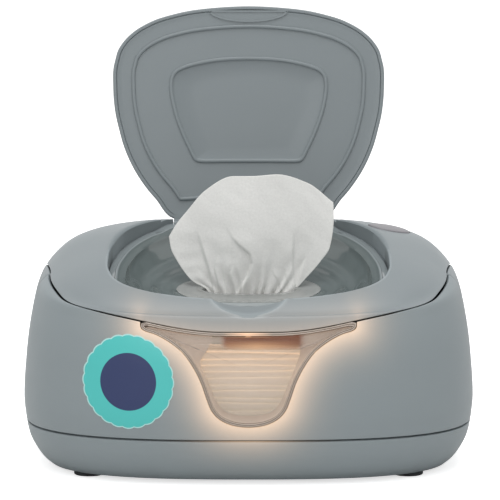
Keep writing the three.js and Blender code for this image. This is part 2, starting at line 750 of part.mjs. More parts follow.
// Heater plate and pad under the tub, thermostat, board and power inlet in the pan.
function heating() {
  const plateHigh = tubFloorHeight - seat;
  const plate = (margin, low, high) => prism(oval(0, 0, tubHalfWidth - margin,
    tubHalfDepth - margin, 36, tubRound), low, high, alongZ);
  put('heater_plate', plate(heaterMargin, plateHigh - heaterThickness, plateHigh), 'metal');
  const padHigh = plateHigh - heaterThickness - seat;
  put('insulation_pad', plate(padMargin, padHigh - padThickness, padHigh), 'pad');
  const low = padHigh - padThickness - seat;
  put('thermostat', roundPost(thermostatX, 0, thermostatRadius, low - thermostatHeight, low, 18)
    .add(box([thermostatX - thermostatRadius * 1.4, -thermostatRadius / 3, low - thermostatHeight / 2],
      [thermostatX + thermostatRadius * 1.4, thermostatRadius / 3, low - thermostatHeight / 3])), 'metal');
  let board = box([boardX - boardLength / 2, boardY - boardDepth / 2, boardHeight],
    [boardX + boardLength / 2, boardY + boardDepth / 2, boardHeight + boardThickness]);
  const top = boardHeight + boardThickness;
  for (const [i, j] of [[-1, -1], [0, 1], [1, -1]]) {
    board = board.add(box([boardX + (i * boardLength) / 3.4 - chipHeight, boardY + j * chipHeight * 2
      - chipHeight, top - seat], [boardX + (i * boardLength) / 3.4 + chipHeight, boardY
      + j * chipHeight * 2 + chipHeight, top + chipHeight * (1 - 0.25 * Math.abs(i))]));
  }
  put('control_board', board, 'board');
}

function powerJack() {
  const drawn = readTable(formHeightShares, formInsetShares, jackHeight / formHeight) * formInset;
  const across = Math.abs(jackX / (halfWidth - drawn)) ** lowRoundness;
  const back = (halfDepth - drawn) * (1 - across) ** (1 / lowRoundness) - lightGap;
  const innerFace = back - wall - panLipThickness - seat * 4;
  const ring = (radius, from, to) =>
    prism(oval(jackX, jackHeight, radius, radius, jackSides), from, to, alongY, [0, 2]);
  let jack = ring(jackRadius, back - jackLength, back)
    .add(ring(jackFlange, back - jackLength, innerFace));
  jack = jack.subtract(ring(jackBore, back - jackLength + jackFlangeThickness, back + wall));
  put('power_inlet', jack.add(ring(jackPin, back - jackLength + jackFlangeThickness / 2,
    back - wall)), 'dark');
}

// Cover.
const axisS = lidFront + lidLength + lidAxisBehind;
const axisT = -lidAxisBelow;
const [, lidAxisY, lidAxisZ] = onRim(0, axisS, axisT);
const lidAxisBar = (radius, half, count = 16) => roundBar(lidAxisY, lidAxisZ, radius, -half, half, count);

function scoop(depth, back) {
  const rings = [];
  const turns = 10;
  const levels = 9;
  for (let k = 0; k < levels; k++) {
    const angle = (Math.PI * (k + 0.5)) / levels;
    const radius = Math.sin(angle);
    rings.push(oval(0, scoopY, (scoopHalfWidth + depth) * radius, (scoopDepthY + depth) * radius,
      turns * 3).map(([x, y]) => [x, y, scoopZ - (scoopDepthZ + depth) * Math.cos(angle)]));
  }
  const keep = rimPrism([[-halfWidth, back - overrun * 2], [halfWidth, back - overrun * 2],
    [halfWidth, back], [-halfWidth, back]], -overrun * 2, overrun * 2);
  return loft(rings).intersect(keep);
}

function buttonOutline(distance) {
  return oval(buttonX, buttonY, buttonHalfLength + distance, buttonHalfWidth + distance, 24);
}
function lampOutline(distance) {
  return oval(buttonX, buttonY + lampOffset, lampHalfLength + distance, lampHalfWidth + distance, 14,
    3);
}
const buttonTop = surfaceHeight(buttonX, buttonY);
const switchTop = buttonTop - switchDrop;
const switchPostX = buttonX + buttonHalfLength + buttonGap + stemRadius * 1.2;

function coverShell() {
  let cover = outer.intersect(aboveSeam(lightGap / 2)).subtract(inner);
  const opening = grow(lidOutline, lidClearance);
  // Collar round the lid's pocket, with the ledge that carries the basin
  const collar = rimPrism(grow(lidOutline, lidClearance + collarWall), -pocketDepth - ledgeThickness,
    overrun);
  cover = cover.add(collar.intersect(outer));
  const housingHalf = barrelHalf + seat + housingWidth;
  cover = cover.add(box([-housingHalf, lidAxisY - barrelRadius * 2, lidAxisZ - housingDrop],
    [housingHalf, lidAxisY + barrelRadius * 2, lidAxisZ + barrelRadius]).intersect(form(wall / 2)));
  cover = cover.add(scoop(scoopWall, lidFront - lidClearance).intersect(outer)
    .intersect(aboveSeam(lightGap / 2)));
  cover = cover.subtract(rimPrism(opening, -pocketDepth, overrun * 2));
  cover = cover.subtract(rimPrism(grow(lidOutline, lidClearance - ledgeWidth),
    -pocketDepth - overrun, overrun * 2));
  cover = cover.subtract(scoop(0, lidFront - lidClearance - scoopRim));
  // Trough for the lid's barrel, with a blind socket for the pin at each end
  const troughHalf = barrelHalf + seat * 1.5;
  cover = cover.subtract(lidAxisBar(barrelRadius + troughGap, troughHalf));
  cover = cover.subtract(box([-troughHalf, lidAxisY - barrelRadius - troughGap, lidAxisZ - troughGap],
    [troughHalf, lidAxisY + barrelRadius + lidWall * 2, formHeight + overrun]));
  // Room above the trough for the lid's rear corners as they swing back
  const swingHalf = lidHalfWidth * lidWidthShares[lidWidthShares.length - 4] + lidClearance;
  cover = cover.subtract(rimPrism([[-swingHalf, axisS - barrelRadius * 2.5],
    [swingHalf, axisS - barrelRadius * 2.5], [swingHalf, axisS], [-swingHalf, axisS]],
  -troughGap, overrun));
  const behind = opening.map(([x, s]) => [x, s + lidSwingRoom]);
  cover = cover.subtract(rimPrism(behind, -lidSkirt - troughGap, overrun));
  cover = cover.subtract(rimPrism([[-troughHalf, lidFront + lidLength - ledgeWidth],
    [troughHalf, lidFront + lidLength - ledgeWidth], [troughHalf, axisS], [-troughHalf, axisS]],
  -pocketDepth, overrun));
  cover = cover.subtract(lidAxisBar(pinBore, troughHalf + pinSocket));
  // Button, lamp and switch posts
  for (const i of [-1, 1]) {
    cover = cover.add(roundPost(switchPostX, buttonY + (i * switchBoardDepth) / 3.2, stemRadius,
      switchTop + seat, buttonTop + overrun).intersect(form(wall / 2)));
  }
  cover = cover.subtract(prism(buttonOutline(buttonGap), switchTop + switchHeight + seat,
    formHeight + overrun, alongZ));
  cover = cover.subtract(prism(lampOutline(seat), switchTop + switchHeight, formHeight + overrun,
    alongZ));
  for (const side of [-1, 1]) {
    cover = cover.subtract(latchPrism(latchGap, side));
    const spans = hingeSpans(side);
    cover = cover.add(hingeBar(hingeRadius, ...spans.knuckle));
    cover = cover.add(box([spans.knuckle[0], hingeY - hingeWebDepth * 1.5, hingeZ - wall / 2],
      [spans.knuckle[1], hingeY, hingeZ + hingeRadius]));
    for (const [low, high] of spans.ears) {
      const room = [low - knuckleGap, high + knuckleGap];
      cover = cover.subtract(box([room[0], hingeY - hingeWeb, hingeZ - hingeWeb * 2],
        [room[1], hingeY + hingeWeb, hingeZ + hingeRadius + hingeRelief * 1.5]));
    }
    cover = cover.subtract(hingeBar(pinBore, spans.whole[0] - wall, spans.whole[1] + wall));
  }
  put('cover_shell', cover, 'cover');
}

// Glossy basin: a flange in the collar and a dish that falls to an oval mouth.
function dispenserBasin() {
  const dishRing = (blend, t, depth) => {
    const from = grow(lidOutline, lidClearance - dishInset - depth);
    return from.map(([x, s]) => {
      const angle = Math.atan2((s - mouthY) / mouthHalfDepth, x / mouthHalfWidth);
      const margin = sealWidth - depth;
      const to = [(mouthHalfWidth + margin) * Math.cos(angle),
        mouthY + (mouthHalfDepth + margin) * Math.sin(angle)];
      return onRim(x + (to[0] - x) * blend, s + (to[1] - s) * blend, t);
    });
  };
  const top = -pocketDepth + seat + flangeThickness;
  const depthAt = (i) => top - dishDepthShares[i] * dishDepth;
  const count = dishDepthShares.map((_, i) => i);
  let basin = rimPrism(grow(lidOutline, lidClearance - seat), top - flangeThickness, top);
  const under = [dishRing(0, top - flangeThickness / 2, -dishWall),
    ...count.slice(1).map((i) => dishRing(dishBlendShares[i], depthAt(i) - dishWall, -dishWall * 0.9))];
  basin = basin.add(loft(under));
  const hollow = [dishRing(0, top + seat, 0),
    ...count.slice(1).map((i) => dishRing(dishBlendShares[i], depthAt(i), 0))];
  basin = basin.subtract(loft(hollow));
  const mouth = oval(0, mouthY, mouthHalfWidth, mouthHalfDepth, 28);
  basin = basin.subtract(rimPrism(mouth, -overrun * 2, overrun));
  put('dispenser_basin', basin, 'glossy');
  // Soft seal: a ring in the mouth whose lip lies over the dish
  const sealHigh = top - dishDepth + seat;
  let seal = rimPrism(oval(0, mouthY, mouthHalfWidth - seat, mouthHalfDepth - seat, 28),
    sealHigh - sealThickness * 2, sealHigh + sealLip / 4);
  seal = seal.add(rimPrism(oval(0, mouthY, mouthHalfWidth + sealLip, mouthHalfDepth + sealLip, 28),
    sealHigh, sealHigh + sealLip / 2));
  seal = seal.subtract(rimPrism(oval(0, mouthY, mouthHalfWidth - sealWidth,
    mouthHalfDepth - sealWidth, 28), -overrun * 2, overrun));
  put('mouth_seal', seal, 'seal');
}

// Flip lid.
// The lid is drawn shut, in the rim's own directions, and swung open about its pin.
function swing(solid) {
  const mesh = solid.getMesh();
  const angle = (-lidOpenAngle * Math.PI) / 180;
  const [c, s] = [Math.cos(angle), Math.sin(angle)];
  const points = [];
  for (let i = 0; i < mesh.numVert; i++) {
    const [x, y, z] = [0, 1, 2].map((k) => mesh.vertProperties[i * mesh.numProp + k]);
    const [dy, dz] = [y - lidAxisY, z - lidAxisZ];
    points.push([x, lidAxisY + dy * c - dz * s, lidAxisZ + dy * s + dz * c]);
  }
  const triangles = [];
  for (let i = 0; i < mesh.triVerts.length; i += 3) {
    triangles.push([mesh.triVerts[i], mesh.triVerts[i + 1], mesh.triVerts[i + 2]]);
  }
  return body(points, triangles);
}

const scaled = (outline, share) =>
  outline.map(([x, s]) => [x * share, lidMiddle + (s - lidMiddle) * share]);
const lidRings = (depth) => {
  const edge = grow(lidOutline, -depth);
  const rings = [edge.map(([x, s]) => onRim(x, s, depth > 0 ? -lidSkirt - seat : -lidSkirt))];
  lidDomeShares.forEach((share, i) => {
    rings.push(scaled(edge, lidDomeScaleShares[i]).map(([x, s]) =>
      onRim(x, s, share * lidDome - depth * (depth > 0 ? Math.min(1, 0.4 + share) : 0))));
  });
  return rings;
};

function flipLid() {
  let shell = loft(lidRings(0));
  // Barrel along the rear edge and the web that joins it
  const profile = [[lidFront + lidLength - lidWall * 0.8, -lidSkirt],
    [lidFront + lidLength + lidWall / 2, -lidSkirt], [axisS - barrelRadius * 0.8, axisT],
    [axisS, axisT], [axisS, axisT + barrelRadius * 0.95],
    [lidFront + lidLength, -lidWall / 4], [lidFront + lidLength - lidWall * 0.8, -lidWall / 4]];
  const web = loft([-barrelHalf, barrelHalf].map((x) => profile.map(([s, t]) => onRim(x, s, t))),
    [1, 2]);
  shell = shell.subtract(loft(lidRings(lidWall)));
  shell = shell.add(web).add(lidAxisBar(barrelRadius, barrelHalf));
  shell = shell.subtract(lidAxisBar(pinBore, barrelHalf + overrun));
  put('lid_shell', swing(shell), 'lid');
  put('lid_hinge_pin', lidAxisBar(pinRadius, barrelHalf + pinSocket), 'metal');

  // Inner panel: a plate with a rim bead, an inner bead and the pad of the finger tab
  const panelLow = -panelDepth - panelThickness;
  const edge = grow(lidOutline, -lidWall - seat);
  let panel = rimPrism(edge, panelLow, -panelDepth);
  const bead = (outline, width, height) => {
    const inside = grow(outline, -width);
    const at = (ring, t) => ring.map(([x, s]) => onRim(x, s, t));
    const high = panelLow + panelThickness / 2;
    return loft([at(outline, high), at(outline, panelLow - height / 3),
      at(grow(outline, -width * 0.3), panelLow - height)])
      .subtract(loft([at(inside, high + seat), at(inside, panelLow),
        at(grow(outline, -width * 0.66), panelLow - height - seat)]));
  };
  panel = panel.add(bead(grow(lidOutline, -ribInset), ribWidth, ribHeight));
  const half = [[0, plateRibFront], [0.5, (plateRibFront * 5 + plateRibShoulder) / 6],
    [plateRibShoulderShare * 0.87, (plateRibFront + plateRibShoulder) / 2],
    [plateRibShoulderShare, plateRibShoulder], [1, plateRibWide],
    [(1 + plateRibRearShare * 1.15) / 2, (plateRibWide + plateRibRear) / 2],
    [plateRibRearShare, plateRibRear - ribWidth], [plateRibRearShare * 0.93, plateRibRear]];
  const plateCurve = new THREE.CatmullRomCurve3([
    ...half.map(([w, s]) => new THREE.Vector3(w * plateRibHalfWidth, s, 0)),
    ...half.slice(1).reverse().map(([w, s]) => new THREE.Vector3(-w * plateRibHalfWidth, s, 0)),
  ], true, 'centripetal');
  const plate = plateCurve.getSpacedPoints(32).slice(0, 32).map((p) => [p.x, p.y]);
  panel = panel.add(bead(plate, ribWidth, ribHeight * 0.8));
  const tab = steps(0, Math.PI, 14).map((a) =>
    [tabHalfWidth * Math.cos(a), lidFront + lidWall * 2.1 + tabLength * Math.sin(a)]);
  panel = panel.add(rimPrism(tab, panelLow - tabProud, panelLow + panelThickness / 2));
  put('lid_panel', swing(panel), 'lid');
}

// Latches and button.
function latches() {
  for (const [name, side] of [['left', -1], ['right', 1]]) {
    let latch = outer.subtract(form(latchThickness)).intersect(latchPrism(-latchGap, side));
    const face = side * (halfWidth - latchThickness - latchBossLength * 2);
    const ends = [face, side * (halfWidth - latchThickness * 2)];
    const boss = roundBar(latchY, latchHeight - latchDrop / 2, latchBoss, Math.min(...ends),
      Math.max(...ends));
    latch = latch.add(boss.intersect(form(latchThickness / 2)));
    put(`side_latch_${name}`, latch, 'cover');
  }
}

function powerButton() {
  const cap = prism(buttonOutline(0), switchTop, formHeight + overrun, alongZ);
  let button = form(-buttonProud).subtract(form(buttonThickness)).intersect(cap);
  const stem = roundPost(buttonX, buttonY, stemRadius, buttonTop - buttonThickness - stemLength,
    buttonTop - buttonThickness / 2, 16);
  put('power_button', button.add(stem.intersect(form(buttonThickness / 2))), 'cover');
  put('indicator_lamp', outer.subtract(form(wall)).intersect(prism(lampOutline(0), switchTop,
    formHeight + overrun, alongZ)), 'lamp');
  const low = switchTop - switchBoardThickness;
  const boardEnd = switchPostX + stemRadius;
  const board = box([boardEnd - switchBoardLength, buttonY - switchBoardDepth / 2, low],
    [boardEnd, buttonY + switchBoardDepth / 2, switchTop]);
  const key = box([buttonX - switchSize / 2, buttonY - switchSize / 2, switchTop - seat],
    [buttonX + switchSize / 2, buttonY + switchSize / 2, switchTop + switchHeight]);
  put('switch_board', board.add(key), 'board');
}

// Wipe in the mouth.
// A soft sheet, gathered in the mouth and fanned out above it in upright folds.
function standingWipe() {
  const foot = onRim(0, mouthY, -pocketDepth - dishDepth - seat);
  const across = steps(-1, 1, wipeColumns);
  const up = steps(0, 1, wipeRows);
  const point = (u, v, side) => {
    const place = v * (wipeWidthShares.length - 1);
    const wide = readTable(wipeWidthShares.map((_, i) => i), wipeWidthShares, place);
    const dropShare = readTable(wipeEdgeDropShares.map((_, i) => i),
      wipeEdgeDropShares, ((u + 1) / 2) * (wipeEdgeDropShares.length - 1));
    const open = Math.min(1, v * 2.4);
    const fold = wipeFold * open * (0.75 * Math.sin(u * 7.5 + v * 1.2) + 0.25 * Math.sin(u * 15 - v));
    const height = (wipeTop - foot[2]) * (1 - dropShare * 0.72 * v);
    const half = wipeFootThickness * (1 - open) * Math.sqrt(Math.max(1 - u * u, 0)) + wipeSheet;
    const tip = wipeSheet * (1 - 0.55 * Math.abs(u) ** 8);
    return [u * wipeHalfWidth * wide, foot[1] + fold + wipeLean * v * v + side * Math.min(half, half * tip / wipeSheet),
      foot[2] + v * height];
  };
  const rings = up.map((v) => [...across.map((u) => point(u, v, -1)),
    ...across.slice().reverse().map((u) => point(u, v, 1))]);
  put('standing_wipe', loft(rings), 'wipe');
}

basePan();
feet();
bodyShell();
hingePins();
wipeTub();
refillWindow();
wipeStack();
heating();
powerJack();
coverShell();
dispenserBasin();
flipLid();
latches();
powerButton();
standingWipe();

const warmer = new THREE.Group();
warmer.name = 'wipe_warmer';
warmer.add(...nodes);
export default warmer;
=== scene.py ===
# %% [markdown]
# # A warmer for baby wipes
# A imported CAD model gives the frame: every solid, in metres, where it belongs. This lesson makes
# the smooth visible pieces round that frame and gives each surface its finish. The first cell
# loads the frame.
# %% Load the frame
import math
from bisect import bisect_right

import bmesh
import bpy
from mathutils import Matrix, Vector, noise
from mathutils.bvhtree import BVHTree


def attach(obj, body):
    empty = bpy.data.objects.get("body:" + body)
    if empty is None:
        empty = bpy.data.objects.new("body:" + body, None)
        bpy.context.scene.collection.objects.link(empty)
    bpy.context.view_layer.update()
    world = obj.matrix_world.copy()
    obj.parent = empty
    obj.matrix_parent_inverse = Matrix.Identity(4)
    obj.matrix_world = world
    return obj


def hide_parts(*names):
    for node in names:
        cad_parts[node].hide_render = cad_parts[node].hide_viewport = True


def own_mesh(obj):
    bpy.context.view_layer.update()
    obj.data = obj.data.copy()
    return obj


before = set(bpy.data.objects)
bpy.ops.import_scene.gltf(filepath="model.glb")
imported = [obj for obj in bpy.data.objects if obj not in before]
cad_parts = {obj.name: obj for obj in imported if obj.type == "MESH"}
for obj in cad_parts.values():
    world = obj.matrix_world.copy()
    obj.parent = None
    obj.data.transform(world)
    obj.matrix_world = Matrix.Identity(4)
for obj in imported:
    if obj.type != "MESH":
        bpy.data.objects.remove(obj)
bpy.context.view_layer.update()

for name in ("Cube", "Light", "Camera"):
    if name in bpy.data.objects:
        bpy.data.objects.remove(bpy.data.objects[name])

# %% [markdown]
# ## The camera
# The picture was taken from straight in front, with a long lens, looking a little down. A camera
# far away with a narrow view gives the same almost parallel lines, so the two long sides of the
# housing stay the same width from front to rear.

# %% Camera
SENSOR_WIDTH, FOCAL_LENGTH = 36, 409.6
CAMERA_PLACE, CAMERA_PITCH = (0.00075, -3.0, 0.5315), 82.055
camera = bpy.data.objects.new("long_lens", bpy.data.cameras.new("long_lens"))
camera.data.sensor_width, camera.data.lens, camera.data.clip_end = SENSOR_WIDTH, FOCAL_LENGTH, 60
camera.location, camera.rotation_euler = CAMERA_PLACE, (math.radians(CAMERA_PITCH), 0, 0)
bpy.context.collection.objects.link(camera)
bpy.context.scene.camera = camera
bpy.context.scene.view_settings.view_transform = "Standard"

# %% [markdown]
# ## Shader sums
# A node tree is hard to read as a list of links. A small class wraps a socket, so that Python's
# own signs add the Math nodes: `1 - mask` becomes a Subtract node. Every other node comes from
# one method.

# %% Shader sums
class Wire:
    """A socket of a node tree that can be used in sums."""

    def __init__(self, tree, socket):
        self.tree, self.socket = tree, socket

    def feed(self, target, value):
        if isinstance(value, Wire):
            self.tree.links.new(value.socket, target)
        else:
            target.default_value = value

    def sum(self, operation, *values, clamp=False):
        return self.node("ShaderNodeMath", {"operation": operation, "use_clamp": clamp},
                         dict(enumerate(values)))

    def __add__(self, other): return self.sum("ADD", self, other)
    def __radd__(self, other): return self.sum("ADD", other, self)
    def __sub__(self, other): return self.sum("SUBTRACT", self, other)
    def __rsub__(self, other): return self.sum("SUBTRACT", other, self)
    def __mul__(self, other): return self.sum("MULTIPLY", self, other)
    def __rmul__(self, other): return self.sum("MULTIPLY", other, self)
    def __truediv__(self, other): return self.sum("DIVIDE", self, other)
    def __rtruediv__(self, other): return self.sum("DIVIDE", other, self)
    def __pow__(self, other): return self.sum("POWER", self, other)

    def size(self): return self.sum("ABSOLUTE", self)
    def held(self): return self.sum("ADD", self, 0.0, clamp=True)
    def above(self, edge, softness):
        """0 below edge, 1 above it, with a soft step."""
        return self.node("ShaderNodeMapRange", {"interpolation_type": "SMOOTHSTEP"},
                         {"Value": self, "From Min": edge - softness, "From Max": edge + softness})

    def node(self, kind, settings=None, inputs=None, output=0):
        """Any node: its settings are set first, and then its sockets, by name or number."""
        node = self.tree.nodes.new(kind)
        for key, value in (settings or {}).items():
            setattr(node, key, value)
        for key, value in (inputs or {}).items():
            self.feed(node.inputs[key], value)
        return Wire(self.tree, node.outputs[output])


def linear(red, green, blue):
    """A screen colour from 0 to 255 as the plain light values that a shader takes."""
    def channel(value):
        share = value / 255
        return share / 12.92 if share <= 0.04045 else ((share + 0.055) / 1.055) ** 2.4
    return tuple(channel(value) for value in (red, green, blue))


class Finish:
    """A material with one Principled shader. Constants go on its sockets, patterns are linked."""

    def __init__(self, name, **constants):
        self.material = bpy.data.materials.new(name)
        self.material.use_nodes = True
        tree = self.material.node_tree
        self.shader = tree.nodes["Principled BSDF"]
        self.wire = Wire(tree, None)
        self.place = self.wire.node("ShaderNodeTexCoord", output=3)
        self.set(**constants)

    def set(self, **values):
        for key, value in values.items():
            socket = self.shader.inputs[key.replace("_", " ").title().replace("Ior", "IOR")]
            if isinstance(value, tuple) and len(value) == 3:
                value = (*value, 1)
            self.wire.feed(socket, value)

    def grain(self, scale, detail=2.0, rough=0.5):
        """Soft noise from 0 to 1; scale is in cycles for each metre."""
        return self.wire.node("ShaderNodeTexNoise", None, {
            "Vector": self.place, "Scale": scale, "Detail": detail, "Roughness": rough})

    def axis(self, index):
        """One coordinate of the place on the piece, in metres."""
        return self.wire.node("ShaderNodeSeparateXYZ", None, {0: self.place}, output=index)

    def painted(self, name):
        """A number painted on the piece's points."""
        return self.wire.node("ShaderNodeAttribute", {"attribute_name": name}, output=2)

    def blend(self, share, low, high):
        """A colour between low and high."""
        def full(color):
            return color if isinstance(color, Wire) else (*color, 1)
        return self.wire.node("ShaderNodeMix", {"data_type": "RGBA"},
                              {0: share, 6: full(low), 7: full(high)}, output=2)

    def bump(self, height, distance, strength):
        self.set(normal=self.wire.node("ShaderNodeBump", None, {
            "Height": height, "Distance": distance, "Strength": strength}))


print("shader helpers ready")

# %% [markdown]
# ## Grey moulded plastic
# The housing, the cover and the lid are one grey plastic. The mould leaves a fine spark-worn grain
# on it, slightly uneven in shine, and hands leave faint smears. A fine bump gives the grain, a wide
# soft noise changes the shine, and the colour moves by only a few hundredths.

# %% Plastics
WARM_GLOW = linear(255, 209, 164)


def grey_plastic(name, color, roughness, glow=0.0):
    def shaded(factor):
        return tuple(min(c * factor, 1) for c in color)
    finish = Finish(name, specular_ior_level=0.45)
    mottle = finish.grain(28, 3.0)
    smear = finish.grain(55, 2.0, 0.6)
    speck = finish.grain(1400, 1.0)
    tone = finish.blend((mottle * 0.7 + speck * 0.3).held(), shaded(0.955), shaded(1.045))
    # The painted lip number lightens the colour: a painted highlight where edges catch the light.
    tone = finish.blend(finish.painted("lip"), tone, shaded(1.32))
    finish.set(base_color=finish.blend(finish.painted("shade"), tone, shaded(0.42)),
               roughness=smear * 0.12 + roughness - 0.06)
    finish.bump(speck, 0.00004, 0.5)
    if glow:
        finish.set(emission_color=finish.blend(finish.painted("glow"), (0, 0, 0), WARM_GLOW),
                   emission_strength=glow)
    return finish.material


# The housing, cover and lid are one plastic, but each gets its own grey, set to how light falls on
# that piece: painted light and shade.
housing_grey = grey_plastic("housing_grey", linear(137, 146, 149), 0.42, glow=0.66)
cover_grey = grey_plastic("cover_grey", linear(134, 142, 145), 0.38, glow=0.62)
lid_grey = grey_plastic("lid_grey", linear(124, 132, 135), 0.36)
button_grey = grey_plastic("button_grey", linear(132, 130, 134), 0.38)
print("plastics", housing_grey.name, cover_grey.name, lid_grey.name)

# %% [markdown]
# ## Tables, rings and Boolean cuts
# The outer form is a rounded rectangle that changes with height. Short tables say how, and a
# monotone curve reads them with no kinks. A grid of quads is laid through rings of points, because
# Blender's grid operator gives all faces at once and only the places of its points are set.
# Openings are cut with the Boolean modifier, as a mould's side actions cut them in the real
# housing. Numbers that a finish reads, such as shade and glow, are painted on a piece's points.

# %% Tables and rings
MM = 0.001


def smooth_table(places, values):
    """Returns a function that reads the table along a curve that never overshoots its values."""
    steps = [(b - a, (v - u) / (b - a))
             for a, b, u, v in zip(places, places[1:], values, values[1:])]
    slopes = [steps[0][1]]
    for (width, one), (next_width, two) in zip(steps, steps[1:]):
        if one * two <= 0:
            slopes.append(0.0)
        else:
            heavy, light = 2 * next_width + width, next_width + 2 * width
            slopes.append((heavy + light) / (heavy / one + light / two))
    slopes.append(steps[-1][1])

    def read(at):
        at = min(max(at, places[0]), places[-1])
        i = min(bisect_right(places, at), len(places) - 1) - 1
        width = steps[i][0]
        t = (at - places[i]) / width
        return (values[i] * (1 + 2 * t) * (1 - t) ** 2 + slopes[i] * width * t * (1 - t) ** 2
                + values[i + 1] * t * t * (3 - 2 * t) + slopes[i + 1] * width * t * t * (t - 1))
    return read


def held(value):
    return min(max(value, 0), 1)


def soft_step(share):
    """0 up to 0, 1 from 1 on, and a soft rise between them."""
    share = held(share)
    return share * share * (3 - 2 * share)


def signed_power(value, power):
    return math.copysign(abs(value) ** power, value)


def turns(count):
    return [2 * math.pi * i / count for i in range(count)]


def spread(low, high, count):
    return [low + (high - low) * k / count for k in range(count + 1)]


def oval(middle, reaches, count=48, power=1):
    """A flat oval, given by its half widths; a power under 1 makes it squarer."""
    return [(middle[0] + reaches[0] * signed_power(math.cos(a), power),
             middle[1] + reaches[1] * signed_power(math.sin(a), power)) for a in turns(count)]


def lay_grid(rows, closed=False):
    """A skin of quads through rows of points in millimetres; closed rows come full circle."""
    down, count = len(rows) - 1, len(rows[0])
    across = count if closed else count - 1
    bm = bmesh.new()
    for vert in bmesh.ops.create_grid(bm, x_segments=across, y_segments=down, size=1)["verts"]:
        column = round((vert.co.x + 1) / 2 * across) % count
        vert.co = Vector(rows[round((vert.co.y + 1) / 2 * down)][column]) * MM
    return bm


def lay_rings(rings, loop=False):
    """A closed skin: through a loop of rings, or through a run of rings with filled ends."""
    bm = lay_grid(rings + rings[:1] if loop else rings, closed=True)
    bmesh.ops.remove_doubles(bm, verts=bm.verts, dist=1e-7)
    if not loop:
        bmesh.ops.holes_fill(bm, edges=[e for e in bm.edges if e.is_boundary], sides=0)
    bmesh.ops.recalc_face_normals(bm, faces=bm.faces)
    return bm


def link(name, bm):
    mesh = bpy.data.meshes.new(name)
    bm.to_mesh(mesh)
    bm.free()
    thing = bpy.data.objects.new(name, mesh)
    bpy.context.collection.objects.link(thing)
    return thing


def carve(target, tool, operation="DIFFERENCE"):
    """Joins, cuts or keeps one closed bmesh with another, and gives the new bmesh."""
    block, knife = link("block", target), link("knife", tool)
    modifier = block.modifiers.new("carve", "BOOLEAN")
    modifier.operation, modifier.object, modifier.solver = operation, knife, "MANIFOLD"
    depsgraph = bpy.context.evaluated_depsgraph_get()
    mesh = bpy.data.meshes.new_from_object(block.evaluated_get(depsgraph))
    result = bmesh.new()
    result.from_mesh(mesh)
    for thing in (block, knife):
        old = thing.data
        bpy.data.objects.remove(thing)
        bpy.data.meshes.remove(old)
    bpy.data.meshes.remove(mesh)
    return result


def box(low, high):
    bm = bmesh.new()
    for vert in bmesh.ops.create_cube(bm, size=1)["verts"]:
        vert.co = Vector([(b if c > 0 else a) * MM for a, b, c in zip(low, high, vert.co)])
    return bm


def prism(outline, ends, axis):
    """A straight prism along an axis; outline gives the two other coordinates, in their order."""
    return lay_rings([[(*pair[:axis], end, *pair[axis:]) for pair in outline] for end in ends])


def bar(y, z, radius, low, high):
    """A round bar along X."""
    return prism(oval((y, z), (radius, radius)), (low, high), 0)


def post(x, y, radius, low, high):
    """A round bar along Z."""
    return prism(oval((x, y), (radius, radius)), (low, high), 2)


def finish_piece(name, bm, material, body, stands_for=(), crease=32):
    """Makes the piece, smooth except where faces meet at more than the crease angle."""
    thing = link(name, bm)
    thing.data.materials.append(material)
    for face in thing.data.polygons:
        face.use_smooth = True
    thing.data.set_sharp_from_angle(angle=math.radians(crease))
    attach(thing, body)
    if stands_for:
        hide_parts(*stands_for)
    print("made", name, len(thing.data.polygons), "faces")
    return thing


def paint(thing, name, value_at):
    """Paints value_at(place in millimetres), held from 0 to 1, where it is above what is there."""
    layer = thing.data.attributes.get(name) or thing.data.attributes.new(name, "FLOAT", "POINT")
    for vertex, value in zip(thing.data.vertices, layer.data):
        value.value = max(value.value, held(value_at(vertex.co / MM)))


# %% [markdown]
# ## The outer form
# Seen from above the warmer is a rounded rectangle; seen from the front its sides swell a little
# and its crown slopes up to the rear. Every point of the form is found from an angle round it and a
# climb up its side, and a depth under the surface gives the inside of a wall in the same way.

# %% Outer form
HALF_WIDTH, HALF_DEPTH, FORM_HEIGHT, FORM_INSET = 119.5, 88.5, 119.0, 73.4
HEIGHT_SHARES = (0.0185, 0.042, 0.084, 0.151, 0.227, 0.311, 0.504, 0.714, 0.8235, 0.882, 0.924,
                 0.958, 0.983, 1)
INSET_SHARES = (0.187, 0.141, 0.0886, 0.0361, 0.0123, 0, 0.0191, 0.0674, 0.1206, 0.211, 0.3174,
                0.4796, 0.661, 1)
CROWN_SLOPE, CROWN_SHIFT = 0.248, 6.05
heights = [share * FORM_HEIGHT for share in HEIGHT_SHARES]
insets = [share * FORM_INSET for share in INSET_SHARES]
climbs = [0.0]
for i in range(1, len(heights)):
    climbs.append(climbs[-1] + math.hypot(heights[i] - heights[i - 1], insets[i] - insets[i - 1]))
TOP_CLIMB = climbs[-1]
height_at = smooth_table(climbs, heights)
inset_at = smooth_table(climbs, insets)
climb_at = smooth_table(heights, climbs)
slope_at = smooth_table([0, 60, 98, 108, 119],
                        [0, 0, 0.48 * CROWN_SLOPE, CROWN_SLOPE, CROWN_SLOPE])
shift_at = smooth_table([0, 85, 98, 110, 119],
                        [0, 0, 0.363 * CROWN_SHIFT, CROWN_SHIFT, CROWN_SHIFT])
roundness_at = smooth_table([0, 90.4, 111.9, 119], [2.74, 2.74, 3.12, 3.12])
SLIGHT = 0.5


def form_point(angle, climb, depth=0.0):
    rise = height_at(climb + SLIGHT) - height_at(climb - SLIGHT)
    draw = inset_at(climb + SLIGHT) - inset_at(climb - SLIGHT)
    reach = math.hypot(rise, draw)
    height = height_at(climb)
    inset = inset_at(climb) + depth * rise / reach
    power, shift = 2 / roundness_at(height), shift_at(height)
    x = (HALF_WIDTH - inset) * signed_power(math.cos(angle), power)
    y = (HALF_DEPTH - inset - shift) * signed_power(math.sin(angle), power) - shift
    return Vector((x, y, height - depth * draw / reach + slope_at(height) * y))


COLUMNS = 288
ANGLES = [turn - 0.18 * math.sin(4 * turn) for turn in turns(COLUMNS)]


